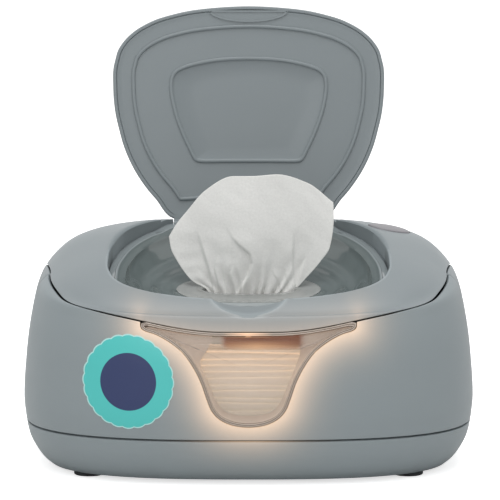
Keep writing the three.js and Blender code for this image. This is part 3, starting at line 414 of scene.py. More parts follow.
def search(low, high, passed):
    """The place between low and high where passed turns true."""
    for _ in range(26):
        middle = (low + high) / 2
        if passed(middle):
            high = middle
        else:
            low = middle
    return (low + high) / 2


def section(height):
    """Half width, half depth, shift and roundness of the form at one height."""
    inset, shift = inset_at(climb_at(height)), shift_at(height)
    return HALF_WIDTH - inset, HALF_DEPTH - inset - shift, shift, roundness_at(height)


def front_y(x, z):
    """The front of the form over a place in the front view."""
    def y_at(height):
        half_x, half_y, shift, power = section(height)
        return -half_y * max(1 - abs(x / half_x) ** power, 0) ** (1 / power) - shift
    height = search(2.3, FORM_HEIGHT, lambda h: h + slope_at(h) * y_at(h) > z)
    return y_at(height)


def side_x(y, z):
    """The right-hand side of the form over a place in the side view."""
    height = search(2.3, FORM_HEIGHT, lambda h: h + slope_at(h) * y > z)
    half_x, half_y, shift, power = section(height)
    return half_x * max(1 - abs((y + shift) / half_y) ** power, 0) ** (1 / power)


def crown_z(x, y):
    """The top of the form over a place in the plan."""
    def outside(height):
        half_x, half_y, shift, power = section(height)
        return abs(x / half_x) ** power + abs((y + shift) / half_y) ** power > 1
    height = search(60, FORM_HEIGHT, outside)
    return height + slope_at(height) * y


def raised(place, one, two, lift):
    """place(one, two) gives a surface's points; this one is moved along the normal by lift."""
    here = place(one, two)
    across = place(one + SLIGHT, two) - here
    along = place(one, two + SLIGHT) - here
    return here + across.cross(along).normalized() * lift


def on_front(x, z, lift=0.0):
    return raised(lambda a, b: Vector((a, front_y(a, b), b)), x, z, lift)


def on_side(y, z, lift=0.0, side=1):
    point = raised(lambda a, b: Vector((side_x(a, b), a, b)), y, z, lift)
    return Vector((side * point.x, point.y, point.z))


def on_crown(x, y, lift=0.0):
    return raised(lambda a, b: Vector((a, b, crown_z(a, b))), x, y, lift)


def form_solid(depth, low=0.0, count=96):
    return lay_rings([[form_point(a, climb, depth) for a in ANGLES]
                      for climb in spread(low, TOP_CLIMB, count)])


OUTER_SKIN = BVHTree.FromBMesh(form_solid(0))
SHADE_START, SHADE_SPAN = 0.7, 0.8


def paint_depth(thing, most=lambda place: 1):
    """Paints shade by depth behind the form's surface, rising from 0 to most(place)."""
    def shade(place):
        depth = OUTER_SKIN.find_nearest(place * MM)[3] / MM
        return held((depth - SHADE_START) / SHADE_SPAN) * most(place)
    paint(thing, "shade", shade)


print("front at z 50:", round(front_y(0, 50), 2), "side at z 60:", round(side_x(0, 60), 2),
      "crown at the button:", round(crown_z(75.5, 30), 2))

# %% [markdown]
# ## Seams and outlines
# The cover meets the housing along a line that dips over the window and climbs along the sides.
# The flip lid is wide at its front and straight at its hinge. Both are kept as functions, because
# the housing, the cover, the window and the lid all read them.

# %% Seams and outlines
SEAM_GAP, SEAM_FRONT_Z, SEAM_FRONT_Y, SEAM_RISE, SEAM_STEP = 1.3, 81.4, -82.7, 0.2, 5.7
SEAM_FLAT_Y = -10
RIM_Y, RIM_Z = -4.0, 109.3
TILT = math.atan(CROWN_SLOPE)
LID_FRONT, LID_LENGTH, LID_HALF_WIDTH = -59.4, 115.4, 73.6
LID_MIDDLE = LID_FRONT + LID_LENGTH / 2


def seam_height(x, y):
    """The seam rises to the rear as far as SEAM_FLAT_Y, and steps up beside and behind the dip."""
    step = max(soft_step((abs(x) - 15) / 65), soft_step((y + 67.7) / 57.7))
    return SEAM_FRONT_Z + SEAM_RISE * (min(y, SEAM_FLAT_Y) - SEAM_FRONT_Y) + SEAM_STEP * step


def from_rim(x, s, t):
    """A point of the sloping rim: s runs to the rear along it and t stands square to it."""
    return Vector((x, RIM_Y + s * math.cos(TILT) - t * math.sin(TILT),
                   RIM_Z + s * math.sin(TILT) + t * math.cos(TILT)))


def to_rim(point):
    dy, dz = point.y - RIM_Y, point.z - RIM_Z
    return (point.x, dy * math.cos(TILT) + dz * math.sin(TILT),
            dz * math.cos(TILT) - dy * math.sin(TILT))


def closed_curve(points, count):
    """A centripetal Catmull-Rom curve through the points, at equal steps along it."""
    points = [Vector(p) for p in points]
    total, dense = len(points), []
    for i in range(total):
        p0, p1, p2, p3 = (points[(i + k) % total] for k in (-1, 0, 1, 2))
        t1 = max((p1 - p0).length, 1e-4) ** 0.5
        t2 = t1 + max((p2 - p1).length, 1e-4) ** 0.5
        t3 = t2 + max((p3 - p2).length, 1e-4) ** 0.5
        for k in range(24):
            t = t1 + (t2 - t1) * k / 24
            a1 = p0 * ((t1 - t) / t1) + p1 * (t / t1)
            a2 = p1 * ((t2 - t) / (t2 - t1)) + p2 * ((t - t1) / (t2 - t1))
            a3 = p2 * ((t3 - t) / (t3 - t2)) + p3 * ((t - t2) / (t3 - t2))
            b1 = a1 * ((t2 - t) / t2) + a2 * (t / t2)
            b2 = a2 * ((t3 - t) / (t3 - t1)) + a3 * ((t - t1) / (t3 - t1))
            dense.append(b1 * ((t2 - t) / (t2 - t1)) + b2 * ((t - t1) / (t2 - t1)))
    lengths = [0.0]
    for a, b in zip(dense, dense[1:] + dense[:1]):
        lengths.append(lengths[-1] + (b - a).length)
    dense.append(dense[0])
    result = []
    for k in range(count):
        want = lengths[-1] * k / count
        i = bisect_right(lengths, want) - 1
        share = (want - lengths[i]) / max(lengths[i + 1] - lengths[i], 1e-9)
        result.append(dense[i].lerp(dense[i + 1], share))
    return result


def grow(outline, distance):
    """Moves each point of a closed flat outline outward along its own normal."""
    count = len(outline)
    area = sum(a[0] * b[1] - b[0] * a[1] for a, b in zip(outline, outline[1:] + outline[:1]))
    result = []
    for i, here in enumerate(outline):
        before, after = Vector(outline[i - 1][:2]), Vector(outline[(i + 1) % count][:2])
        run = (after - before).normalized()
        normal = Vector((run.y, -run.x)) * math.copysign(1, area)
        result.append(Vector((here[0] + normal.x * distance, here[1] + normal.y * distance)))
    return result


WIDTHS = (0, 0.4, 0.573, 0.691, 0.808, 0.867, 0.912, 0.963, 0.985, 1, 1, 0.996, 0.982, 0.956,
          0.926, 0.882, 0.823, 0.746, 0.683, 0.568, 0.3, 0)
LENGTHS = (0, 0.018, 0.0415, 0.0651, 0.103, 0.131, 0.159, 0.2065, 0.2535, 0.301, 0.395, 0.442,
           0.513, 0.584, 0.654, 0.725, 0.796, 0.867, 0.914, 1, 1.002, 1.003)
right = [(w * LID_HALF_WIDTH, LID_FRONT + s * LID_LENGTH) for w, s in zip(WIDTHS, LENGTHS)]
LID_OUTLINE = closed_curve(right + [(-x, s) for x, s in right[-2:0:-1]], 288)


def polar_reader(outline, middle):
    """How far a closed outline is from the point (0, middle), as a function of the direction."""
    polar = sorted((math.atan2(p.y - middle, p.x), math.hypot(p.x, p.y - middle))
                   for p in outline)
    turn = 2 * math.pi
    polar = [(polar[-1][0] - turn, polar[-1][1])] + polar + [(polar[0][0] + turn, polar[0][1])]
    angles = [a for a, _ in polar]

    def read(angle):
        angle = (angle + math.pi) % turn - math.pi
        i = min(bisect_right(angles, angle), len(angles) - 1)
        (a, r), (b, q) = polar[i - 1], polar[i]
        return r + (q - r) * (angle - a) / max(b - a, 1e-9)
    return read


def rim_radius(growth):
    """How far the grown lid outline is from its middle, by direction."""
    return polar_reader(grow(LID_OUTLINE, growth), LID_MIDDLE)


def rim_prism(outline, low, high):
    return lay_rings([[from_rim(p[0], p[1], t) for p in outline] for t in (low, high)])


print("lid outline", len(LID_OUTLINE), "points; seam at the front",
      round(seam_height(0, SEAM_FRONT_Y), 1))

# %% [markdown]
# ## Base pan and feet
# The pan is a shallow cup whose outside is the lowest part of the outer form. One skin runs up the
# outside, over the edge and down the inside, so the wall is closed from the start. Screw posts,
# foot recesses, air slots and the round hole for the power inlet are then added and cut.

# %% Base pan
CORNERS = [(-1, -1), (1, -1), (-1, 1), (1, 1)]
PAN_TOP, PAN_WALL, PAN_EDGE = 24.1, 2.6, 0.5
SCREW_X, SCREW_Y, FOOT_X, FOOT_Y, FOOT_RADIUS = 97, 34, 84, 46, 8
INLET_X, INLET_Z, INLET_RADIUS = 30, 15.5, 5.5
SLOT_PITCH, SLOT_HALF, SLOT_FRONT, SLOT_REAR = 11, 1.5, 17, 43
# Each row: what is done, the middle of the four posts, their reach from it, radius, low and high.
PAN_POSTS = [("UNION", 0, 0, SCREW_X, SCREW_Y, 4, 3.5, 13.2),
             ("UNION", 0, 0, 62, 36, 4.5, 3.5, 22.5),
             ("UNION", 52, -2, 25.1, 18.1, 2.6, 3.5, 9.7),
             ("UNION", 0, 0, FOOT_X, FOOT_Y, FOOT_RADIUS + 1.3, 2.95, 4.9),
             ("DIFFERENCE", 0, 0, SCREW_X, SCREW_Y, 1.7, 0, 10.6),
             ("DIFFERENCE", 0, 0, FOOT_X, FOOT_Y, FOOT_RADIUS + 0.3, -2, 3.5)]
FOOT_PROFILE = ((FOOT_RADIUS - 0.8, 0), (FOOT_RADIUS - 0.25, 0.25), (FOOT_RADIUS, 0.8),
                (FOOT_RADIUS, 3.2))

top = climb_at(PAN_TOP)
path = [(c, 0) for c in spread(0, top - PAN_EDGE, 22)] + [(top - 0.15, 0.15), (top, PAN_EDGE)]
path += [(top, PAN_WALL - 0.3)] + [(c, PAN_WALL) for c in spread(top - 0.4, 1.2, 12)]
pan = lay_rings([[form_point(a, c, d) for a in ANGLES] for c, d in path])
for i, j in CORNERS:
    for operation, x, y, reach_x, reach_y, *size in PAN_POSTS:
        pan = carve(pan, post(x + i * reach_x, y + j * reach_y, *size), operation)
for k in (-2, -1, 0, 1, 2):
    x = k * SLOT_PITCH
    pan = carve(pan, box((x - SLOT_HALF, SLOT_FRONT, -2), (x + SLOT_HALF, SLOT_REAR, 8)))
pan = carve(pan, prism(oval((INLET_X, INLET_Z), (INLET_RADIUS, INLET_RADIUS)), (73.5, 120), 1))
pan_piece = finish_piece("base_pan_smooth", pan, housing_grey, "base", ["base_pan"])

rubber = Finish("foot_rubber", roughness=0.85, specular_ior_level=0.3)
rubber.set(base_color=rubber.blend(rubber.grain(300), linear(40, 42, 44), linear(62, 64, 66)))
rubber.bump(rubber.grain(900), 0.0001, 0.6)
for (i, j), name in zip(CORNERS, ("front_left", "front_right", "rear_left", "rear_right")):
    foot = lay_rings([[(x, y, z) for x, y in oval((i * FOOT_X, j * FOOT_Y), (r, r))]
                      for r, z in FOOT_PROFILE])
    finish_piece("foot_pad_" + name, foot, rubber.material, "base", ["foot_" + name])

# %% [markdown]
# ## Glow of the night light
# A lamp behind the window shines through its clear funnel and lights the grey plastic round it.
# The points at the front of the pan, the housing and the cover are painted with their nearness to
# the window's edge, and the plastic turns that number into a warm emission.

# %% Window outline and glow
WINDOW_HALF, WINDOW_LOW, WINDOW_RISE = 56.4, 31.9, 55.1
WINDOW_WIDTHS = (1, 0.994, 0.968, 0.855, 0.716, 0.603, 0.507, 0.441, 0.385, 0.344, 0.28, 0.167, 0)
WINDOW_HEIGHTS = (1, 0.924, 0.9, 0.864, 0.789, 0.695, 0.559, 0.425, 0.263, 0.162, 0.085, 0.025, 0)
right_side = [(w * WINDOW_HALF, WINDOW_LOW + h * WINDOW_RISE)
              for w, h in zip(WINDOW_WIDTHS, WINDOW_HEIGHTS)]
top_z, top_x = WINDOW_LOW + WINDOW_RISE + 12, WINDOW_HALF + 0.2
funnel = closed_curve([(top_x, top_z)] + right_side + [(-x, z) for x, z in right_side[-2::-1]]
                      + [(-top_x, top_z)], 420)


def window_side(distance):
    """The funnel's sides and foot, moved inward, as (x, z) from the top right to the top left."""
    sides = [p for p in grow(funnel, -distance) if p.y < top_z - 8]
    start = max(range(len(sides)), key=lambda i: (sides[i] - sides[i - 1]).length)
    sides = sides[start:] + sides[:start]
    return sides[::-1] if sides[0].x < 0 else sides


def seam_at_front(x):
    y = -84
    for _ in range(4):
        y = front_y(x, seam_height(x, y))
    return seam_height(x, y)


SEAM_XS = spread(-64, 64, 64)
seam_line = smooth_table(SEAM_XS, [seam_at_front(x) for x in SEAM_XS])
edge_points = [p for p in funnel if p.y < seam_line(p.x) + 3][::3]
edge_points += [Vector((x, seam_line(x) - 1)) for x in spread(-50, 50, 26)]


def paint_glow(thing, fade, strength=1.0, skin_depth=0.5):
    """Paints glow on the front skin; fade is how fast it falls off from the window's edge."""
    def glow(place):
        x, y, z = place
        if y > -40:
            return 0
        near = min(math.hypot(x - p.x, z - p.y) for p in edge_points)
        skin = held(1.2 - (y - front_y(x, max(z, 26))) / skin_depth)
        return strength * skin * math.exp(-(near / fade) ** 1.15)
    paint(thing, "glow", glow)


paint_glow(pan_piece, 8.0, 1.35, 12)
print("window edge", len(funnel), "points; seam at the middle", round(seam_line(0), 1))

# %% [markdown]
# ## Housing
# The housing is one moulded wall. Its skin goes round as a closed loop of rings: up the outside,
# over a small radius at the seam, down the inside, and round the lip that drops into the pan.
# Because the seam rises and dips, each column of points stops at its own height. The window, the
# two latches and the rear hinge are cut afterwards.

# %% Housing
LATCH_Y, LATCH_HALF, LATCH_DROP, LATCH_RISE = 7.5, 17.5, 15.5, 1.6
LATCH_Z = seam_height(HALF_WIDTH, LATCH_Y)
HINGE_X, HINGE_Y, HINGE_Z, HINGE_GAP, PIN_BORE = 38, 79.2, 103.5, 0.4, 1.8
KNUCKLE, KNUCKLE_HALF, HINGE_HALF = 3.5, 5.7, 13.5
EAR_FRONT, EAR_REAR, EAR_LOW = 73.2, 80.9, 94.5
SKIN_WALL, SKIN_EDGE = 2.6, 0.5
HOUSING_LOW, LIP_LOW, LIP_DEPTH = 25.1, 21, 2.95
TUB_X, TUB_Y, TUB_POWER = 99.8, 69.8, 2 / 4.2


def latch_outline(distance, count=96):
    lens = []
    for a in turns(count):
        y = LATCH_Y - LATCH_HALF * signed_power(math.cos(a), 0.8)
        if math.sin(a) >= 0:
            z = LATCH_Z - LATCH_DROP * signed_power(math.sin(a), 0.8)
        else:
            z = LATCH_Z + LATCH_RISE * (1 - ((y - LATCH_Y) / LATCH_HALF) ** 2)
        lens.append((y, z))
    return [(p.x, p.y) for p in grow(lens, distance)]


def latch_room(side):
    return prism(latch_outline(0.45), (side * 88, side * 150), 0)


def hinge_spans(side):
    """Where a rear hinge has its knuckle and its two ears, and the whole of it, along X."""
    middle, near = side * HINGE_X, KNUCKLE_HALF + HINGE_GAP
    return ((middle - KNUCKLE_HALF, middle + KNUCKLE_HALF),
            [(middle - HINGE_HALF, middle - near), (middle + near, middle + HINGE_HALF)],
            (middle - HINGE_HALF, middle + HINGE_HALF))


def pin_bore(low, high):
    return bar(HINGE_Y, HINGE_Z, PIN_BORE, low - 2.6, high + 2.6)


def seam_climb(angle):
    """How far up the form's side a column of points meets the lower edge of the seam."""
    def above(climb):
        x, y, z = form_point(angle, climb)
        return z > seam_height(x, y) - SEAM_GAP / 2
    return search(climb_at(60), climb_at(108), above)


def corner_lift(angle, climb):
    """The seam runs a little higher round the front corners."""
    x, y, _ = form_point(angle, climb)
    return 2.4 * soft_step((abs(x) - 70) / 28) * soft_step((-8 - y) / 36)


SEAM_LOW = [seam_climb(a) for a in ANGLES]
SEAM_LOW = [climb + corner_lift(a, climb) for a, climb in zip(ANGLES, SEAM_LOW)]
SEAM_HIGH = [climb + SEAM_GAP + 0.16 * corner_lift(a, climb) for a, climb in zip(ANGLES, SEAM_LOW)]


def housing_ring(share, drop, depth):
    low = climb_at(HOUSING_LOW)
    return [form_point(a, low + (top - low) * share - drop, depth)
            for a, top in zip(ANGLES, SEAM_LOW)]


def low_ring(z, depth, form_z):
    """A level ring at z, as wide as the form at form_z and set in by depth."""
    return [Vector((*form_point(a, climb_at(form_z), depth).xy, z)) for a in ANGLES]


rings = [low_ring(LIP_LOW, 4.6, LIP_LOW + 1), low_ring(LIP_LOW, LIP_DEPTH, LIP_LOW + 1),
         low_ring(25.0, LIP_DEPTH, 26.0), low_ring(HOUSING_LOW, 0.35, HOUSING_LOW)]
rings += [housing_ring(share, 0, 0) for share in spread(0.004, 0.985, 46)]
rings += [housing_ring(1, SKIN_EDGE, 0), housing_ring(1, 0.15, 0.15), housing_ring(1, 0, SKIN_EDGE)]
rings += [housing_ring(1, 0, SKIN_WALL - 0.3), housing_ring(1, 0.4, SKIN_WALL)]
rings += [housing_ring(share, 0, SKIN_WALL) for share in spread(0.96, 0.06, 14)]
rings += [low_ring(26.5, 4.6, 27.5)]
housing = lay_rings(rings, loop=True)
tub_edge = [(TUB_X * signed_power(math.cos(a), TUB_POWER),
             TUB_Y * signed_power(math.sin(a), TUB_POWER)) for a in ANGLES]
deck = lay_rings([low_ring(70, 1.4, 72), low_ring(72, 1.4, 72)]
                 + [[(x, y, z) for x, y in tub_edge] for z in (72, 70)], loop=True)
housing = carve(housing, deck, "UNION")
window_cut = window_side(0)
window_cut = [(window_cut[0].x, 140), *window_cut, (window_cut[-1].x, 140)]
housing = carve(housing, prism(window_cut, (-130, -68.4), 1))
for side in (-1, 1):
    housing = carve(housing, latch_room(side))
    knuckle, ears, whole = hinge_spans(side)
    for a, b in ears:
        web = box((a, EAR_FRONT, EAR_LOW), (b, EAR_REAR, HINGE_Z))
        ear = carve(bar(HINGE_Y, HINGE_Z, KNUCKLE, a, b), web, "UNION")
        housing = carve(housing, ear, "UNION")
    room = bar(HINGE_Y, HINGE_Z, KNUCKLE + 0.7, knuckle[0] - HINGE_GAP, knuckle[1] + HINGE_GAP)
    housing = carve(carve(housing, room), pin_bore(*whole))
body_piece = finish_piece("housing_shell", housing, housing_grey, "base", ["body_shell"])
paint_glow(body_piece, 8.0)
paint_depth(body_piece)

# %% [markdown]
# ## Cover
# The cover carries the lid's sunken opening. Its skin starts at the seam, follows the crown to the
# rim, turns over a small radius, and drops down a collar to a ledge where the basin lies. Then it
# goes back under the crown to the seam. The finger scoop, the trough of the lid's hinge, the holes
# of the button and its lamp, the latches and the rear knuckles are joined or cut after that.

# %% Cover
AXIS_Y, AXIS_Z, AXIS_S = 56.0, 118.6, 60.474
OPENING_GROWTH = 0.6
OPENING, LEDGE, COLLAR = (rim_radius(growth) for growth in (OPENING_GROWTH, -4.4, 3.0))
COLLAR_LOW, LEDGE_LOW = -5.2, -7.4
SCOOP_HALF, SCOOP_DROP, SCOOP_Z, SCOOP_DEPTH = 20.6, 11.2, 99.5, 4.4
WEB_HALF, TROUGH_HALF, ABOVE = 40.5, 40.95, 150


def rim_polar(point):
    """A point's direction and distance from the lid's middle, and its height over the rim."""
    x, s, t = to_rim(point)
    return math.atan2(s - LID_MIDDLE, x), math.hypot(x, s - LID_MIDDLE), t


def rim_place(radius, phi, t):
    return from_rim(radius * math.cos(phi), LID_MIDDLE + radius * math.sin(phi), t)


def rim_bar(profile, half):
    """A prism along X whose profile is given in the rim's own directions."""
    return lay_rings([[from_rim(x, s, t) for s, t in profile] for x in (-half, half)])


def rim_climb(angle, seam):
    """How far up the form's side a column of points meets the opening."""
    def inside(climb):
        phi, reach, _ = rim_polar(form_point(angle, climb))
        return reach < OPENING(phi)
    return search(seam + 2, TOP_CLIMB, inside)


RIM_CLIMB = [rim_climb(a, seam) for a, seam in zip(ANGLES, SEAM_HIGH)]
RIM = [rim_polar(form_point(a, climb)) for a, climb in zip(ANGLES, RIM_CLIMB)]
PHIS = [phi for phi, _, _ in RIM]
RADII = [0.9 + 2.7 * held((reach * math.sin(phi) + 12) / 22) for phi, reach, _ in RIM]


def crown_ring(share, start, depth, stops=RADII):
    """A ring a share of the way from start past the seam to its stop before the rim."""
    return [form_point(a, low + start + (high - stop - low - start) * share, depth)
            for a, low, high, stop in zip(ANGLES, SEAM_HIGH, RIM_CLIMB, stops)]


def collar_ring(read, t):
    return [rim_place(read(phi), phi, t) for phi in PHIS]


def rounded_rim(share):
    """Turns from the crown over the rim into the collar, along a quarter of a round."""
    ring = []
    for a, climb, (phi, reach, t), radius in zip(ANGLES, RIM_CLIMB, RIM, RADII):
        outer, corner = form_point(a, climb - radius), rim_place(reach, phi, t)
        inner = rim_place(OPENING(phi), phi, t - radius)
        ring.append(outer * (1 - share) ** 2 + corner * 2 * share * (1 - share)
                    + inner * share ** 2)
    return ring


rings = [crown_ring(0, start, depth)
         for start, depth in ((0, 2.3), (0, SKIN_EDGE), (0.15, 0.15), (SKIN_EDGE, 0))]
rings += [crown_ring(share, SKIN_EDGE, 0) for share in spread(0.02, 1, 44)]
rings += [rounded_rim(share) for share in (0.15, 0.3, 0.45, 0.6, 0.75, 0.9, 1)]
rings += [collar_ring(OPENING, COLLAR_LOW + 0.3), collar_ring(OPENING, COLLAR_LOW),
          collar_ring(LEDGE, COLLAR_LOW), collar_ring(LEDGE, LEDGE_LOW),
          collar_ring(COLLAR, LEDGE_LOW)]
rings += [[rim_place(COLLAR(phi), phi, min(t - 3.2, -6.2)) for phi, _, t in RIM]]
rings += [crown_ring(share, 0, SKIN_WALL, [6] * COLUMNS) for share in spread(0.94, 0, 14)]
cover = lay_rings(rings, loop=True)
under_crown = form_solid(1.3, climb_at(60))


def scoop_hollow():
    """A shallow half oval that falls away from the opening's edge, parallel to the crown."""
    def ring(share, lift):
        return [on_front(x, z, lift) for x, z in
                oval((0, SCOOP_Z), (SCOOP_HALF * share, SCOOP_DROP * share), 120)]
    loops = [ring(share, -SCOOP_DEPTH * (1 - share ** 2) ** 0.62)
             for share in spread(0.04, 0.97, 18)]
    loops += [ring(0.99, -0.5), ring(1.0, 0.1), ring(1.015, 1.5), ring(0.5, 6), ring(0.04, 6)]
    front, rear, floor = LID_FRONT - 0.55, LID_FRONT + 8, COLLAR_LOW + 0.35
    keep = rim_bar(((-130, 60), (-130, -60), (front, -60), (front, floor), (rear, floor),
                    (rear, 60)), 99)
    return carve(lay_rings(loops), keep, "INTERSECT")


def scoop_wall():
    """The wall behind the scoop: the front of a flat ball, inside the form and over the seam."""
    ball = bmesh.new()
    bmesh.ops.create_uvsphere(ball, u_segments=96, v_segments=48, radius=1)
    for vert in ball.verts:
        x, y, z = vert.co
        vert.co = Vector((x * 23.7, -65.9 + y * 19.2, 97 + z * 12.2)) * MM
    front = LID_FRONT - 0.6
    keep = rim_prism([(-99, front), (99, front), (99, front - 60), (-99, front - 60)], -60, 60)
    for tool in (keep, form_solid(0, climb_at(60)), slab_above_seam()):
        ball = carve(ball, tool, "INTERSECT")
    return ball


def slab_above_seam():
    bm = lay_grid([[Vector((x, y, seam_height(x, y) + SEAM_GAP * 2))
                    for x in spread(-150, 150, 60)] for y in spread(-120, 120, 48)])
    raised_part = bmesh.ops.extrude_face_region(bm, geom=bm.faces[:])["geom"]
    for vert in [g for g in raised_part if isinstance(g, bmesh.types.BMVert)]:
        vert.co.z = 0.25
    bmesh.ops.recalc_face_normals(bm, faces=bm.faces)
    return bm


cover = carve(cover, scoop_wall(), "UNION")
half = WEB_HALF + 5.3
hinge_block = carve(box((-half, AXIS_Y - 6, AXIS_Z - 7), (half, AXIS_Y + 6, AXIS_Z + 3)),
                    under_crown.copy(), "INTERSECT")
cover = carve(cover, hinge_block, "UNION")
opening = grow(LID_OUTLINE, OPENING_GROWTH)
cover = carve(cover, rim_prism(opening, COLLAR_LOW, 40))
cover = carve(cover, rim_prism([(p.x, p.y + 1.6) for p in opening], -3.7, 40))
cover = carve(cover, scoop_hollow())
cover = carve(cover, bar(AXIS_Y, AXIS_Z, 3.8, -TROUGH_HALF, TROUGH_HALF))
cover = carve(cover, box((-TROUGH_HALF, AXIS_Y - 3.8, AXIS_Z - 0.8),
                         (TROUGH_HALF, AXIS_Y + 7, ABOVE)))
swing = LID_HALF_WIDTH * WIDTHS[-4] + OPENING_GROWTH
for reach, near, floor in ((swing, AXIS_S - 7.5, -0.8),
                           (TROUGH_HALF, LID_FRONT + LID_LENGTH - 5, COLLAR_LOW)):
    cover = carve(cover, rim_prism([(-reach, near), (reach, near), (reach, AXIS_S),
                                    (-reach, AXIS_S)], floor, 40))
cover = carve(cover, bar(AXIS_Y, AXIS_Z, PIN_BORE, -TROUGH_HALF - 3, TROUGH_HALF + 3))
print("cover ring cut for scoop and lid hinge:", len(cover.faces), "faces")

# %% Button hole, latches and rear hinge of the cover
BUTTON_X, BUTTON_Y, LAMP_Y = 75.5, 30.0, 41.0
KNUCKLE_FRONT, KNUCKLE_LOW, KNUCKLE_HIGH = 70.2, 102.2, 107
EAR_ROOM_LOW, EAR_ROOM_REAR, EAR_ROOM_HIGH = 85.5, 88.2, 108.05
BUTTON_TOP = crown_z(BUTTON_X, BUTTON_Y)
SWITCH_TOP = BUTTON_TOP - 11.5


def button_outline(distance):
    return oval((BUTTON_X, BUTTON_Y), (11 + distance, 8.3 + distance), 96)


def lamp_outline(distance):
    return oval((BUTTON_X, LAMP_Y), (5.5 + distance, 1.3 + distance), 64, 2 / 3)


for i in (-1, 1):
    stud = carve(post(BUTTON_X + 13.8, BUTTON_Y + i * 5, 2, SWITCH_TOP + 0.3, ABOVE),
                 under_crown.copy(), "INTERSECT")
    cover = carve(cover, stud, "UNION")
cover = carve(cover, prism(button_outline(0.4), (SWITCH_TOP + 2.7, ABOVE), 2))
cover = carve(cover, prism(lamp_outline(0.3), (SWITCH_TOP + 2.4, ABOVE), 2))
for side in (-1, 1):
    cover = carve(cover, latch_room(side))
    (a, b), ears, whole = hinge_spans(side)
    web = box((a, KNUCKLE_FRONT, KNUCKLE_LOW), (b, HINGE_Y, KNUCKLE_HIGH))
    cover = carve(cover, carve(bar(HINGE_Y, HINGE_Z, KNUCKLE, a, b), web, "UNION"), "UNION")
    for a, b in ears:
        cover = carve(cover, box((a - HINGE_GAP, KNUCKLE_FRONT, EAR_ROOM_LOW),
                                 (b + HINGE_GAP, EAR_ROOM_REAR, EAR_ROOM_HIGH)))
    cover = carve(cover, pin_bore(*whole))
cover_piece = finish_piece("cover_with_scoop", cover, cover_grey, "cover", ["cover_shell"])

# %% Painted glow, painted shade and painted edge highlights of the cover
BY_ANGLE = sorted((phi, t) for phi, _, t in RIM)


def crown_t(phi):
    """How high the opening's edge stands over the rim's plane in one direction."""
    return BY_ANGLE[min(bisect_right(BY_ANGLE, (phi, 0)), len(BY_ANGLE) - 1)][1]


def collar_shade(place):
    """The shade of the collar, deeper further down, and none at the front by the scoop."""
    x, s, _ = to_rim(place)
    phi, reach, t = rim_polar(place)
    if reach > OPENING(phi) + 0.35 or (abs(x) < 24 and s < LID_FRONT + 2):
        return 0
    return (crown_t(phi) - t - 1.6) / 1.8


def darkest(place):
    """The shade of a deep point of the cover: little in the scoop, none round the opening."""
    if abs(place.x) < 24 and place.y < -50 and place.z > 87.5:
        return 0.16
    phi, reach, _ = rim_polar(place)
    return 0 if reach < OPENING(phi) + 3.6 else 1


def edge_highlight(place):
    """Painted highlights: the oval of the scoop's edge, and the front of the opening's edge."""
    _, s, _ = to_rim(place)
    phi, reach, t = rim_polar(place)
    if abs(place.x) < 23 and place.y < -60 and place.z < SCOOP_Z:
        around = math.hypot(place.x / SCOOP_HALF, (place.z - SCOOP_Z) / SCOOP_DROP)
        return 1 - abs(around - 1) / 0.09
    if s < 12 and reach < OPENING(phi) + 1.1 and t > crown_t(phi) - 0.9:
        return 0.7 * min((12 - s) / 16, 1)
    return 0


paint_glow(cover_piece, 6.0, 0.42)
paint(cover_piece, "shade", collar_shade)
paint_depth(cover_piece, darkest)
# Painted highlight on the scoop's edge and on the front of the opening's edge.
paint(cover_piece, "lip", edge_highlight)

# %% [markdown]
# ## Latches, button and lamp
# These small pieces lie flush in holes of the shell. Each is a thin pad that follows the outer
# form: rings of its outline shrink to the middle, and the outermost ones turn down over a small
# radius.

# %% Pads that lie on the form
def pad(place, outline, centre, thickness, lift=0.0, edge=0.5, rings=9, dome=0.0):
    """A closed pad; place(one, two, lift) gives points of the form, lift is how proud it stands."""
    reach = min(math.hypot(a - centre[0], b - centre[1]) for a, b in outline)

    def ring(share, up):
        return [place(centre[0] + (a - centre[0]) * share, centre[1] + (b - centre[1]) * share, up)
                for a, b in outline]
    loops = [ring(0.1, lift - thickness), ring(0.6, lift - thickness), ring(1, lift - thickness)]
    for turn in (0, 22.5, 45, 67.5, 90):
        c, s = math.cos(math.radians(turn)), math.sin(math.radians(turn))
        loops.append(ring(1 - edge * (1 - c) / reach, lift - edge * (1 - s)))
    for k in range(1, rings + 1):
        share = (1 - edge / reach) * (1 - k / rings * 0.94)
        loops.append(ring(share, lift + dome * (1 - share ** 2)))
    return lay_rings(loops)


LATCH_CENTRE = (LATCH_Y, LATCH_Z - 6)


def latch_pad(side, growth, thickness, **shape):
    return pad(lambda y, z, up: on_side(y, z, up, side), latch_outline(growth, 120),
               LATCH_CENTRE, thickness, **shape)


for name, side in (("left", -1), ("right", 1)):
    latch = latch_pad(side, -0.2, 3.3, edge=0.7, rings=10)
    latch = carve(latch, latch_pad(side, 1.0, 0.6, lift=-3.0, edge=0.2, rings=3), "UNION")
    stub = bar(LATCH_Y, LATCH_Z - 7.75, 4.5, *sorted((side * 107.1, side * 114.7)))
    latch = carve(latch, carve(stub, form_solid(1.2, climb_at(60)), "INTERSECT"), "UNION")
    latch_piece = finish_piece("latch_cap_" + name, latch, cover_grey, "latch_" + name,
                               ["side_latch_" + name])
    paint_depth(latch_piece)
button = pad(on_crown, button_outline(0), (BUTTON_X, BUTTON_Y), 2.6, lift=0.6, edge=0.8,
             dome=0.25)
button = carve(button, post(BUTTON_X, BUTTON_Y, 2, BUTTON_TOP - 6, BUTTON_TOP - 1.3), "UNION")
finish_piece("button_cap", button, button_grey, "button", ["power_button"])
lamp_glass = Finish("lamp_glass", base_color=linear(214, 150, 146), roughness=0.3,
                    emission_strength=0.35, coat_weight=0.4)
lamp_glass.set(emission_color=lamp_glass.blend(lamp_glass.grain(500), linear(225, 140, 135),
                                               linear(250, 190, 180)))
lamp = pad(on_crown, lamp_outline(0), (BUTTON_X, LAMP_Y), 2.2, lift=0.1, edge=0.35, rings=4)
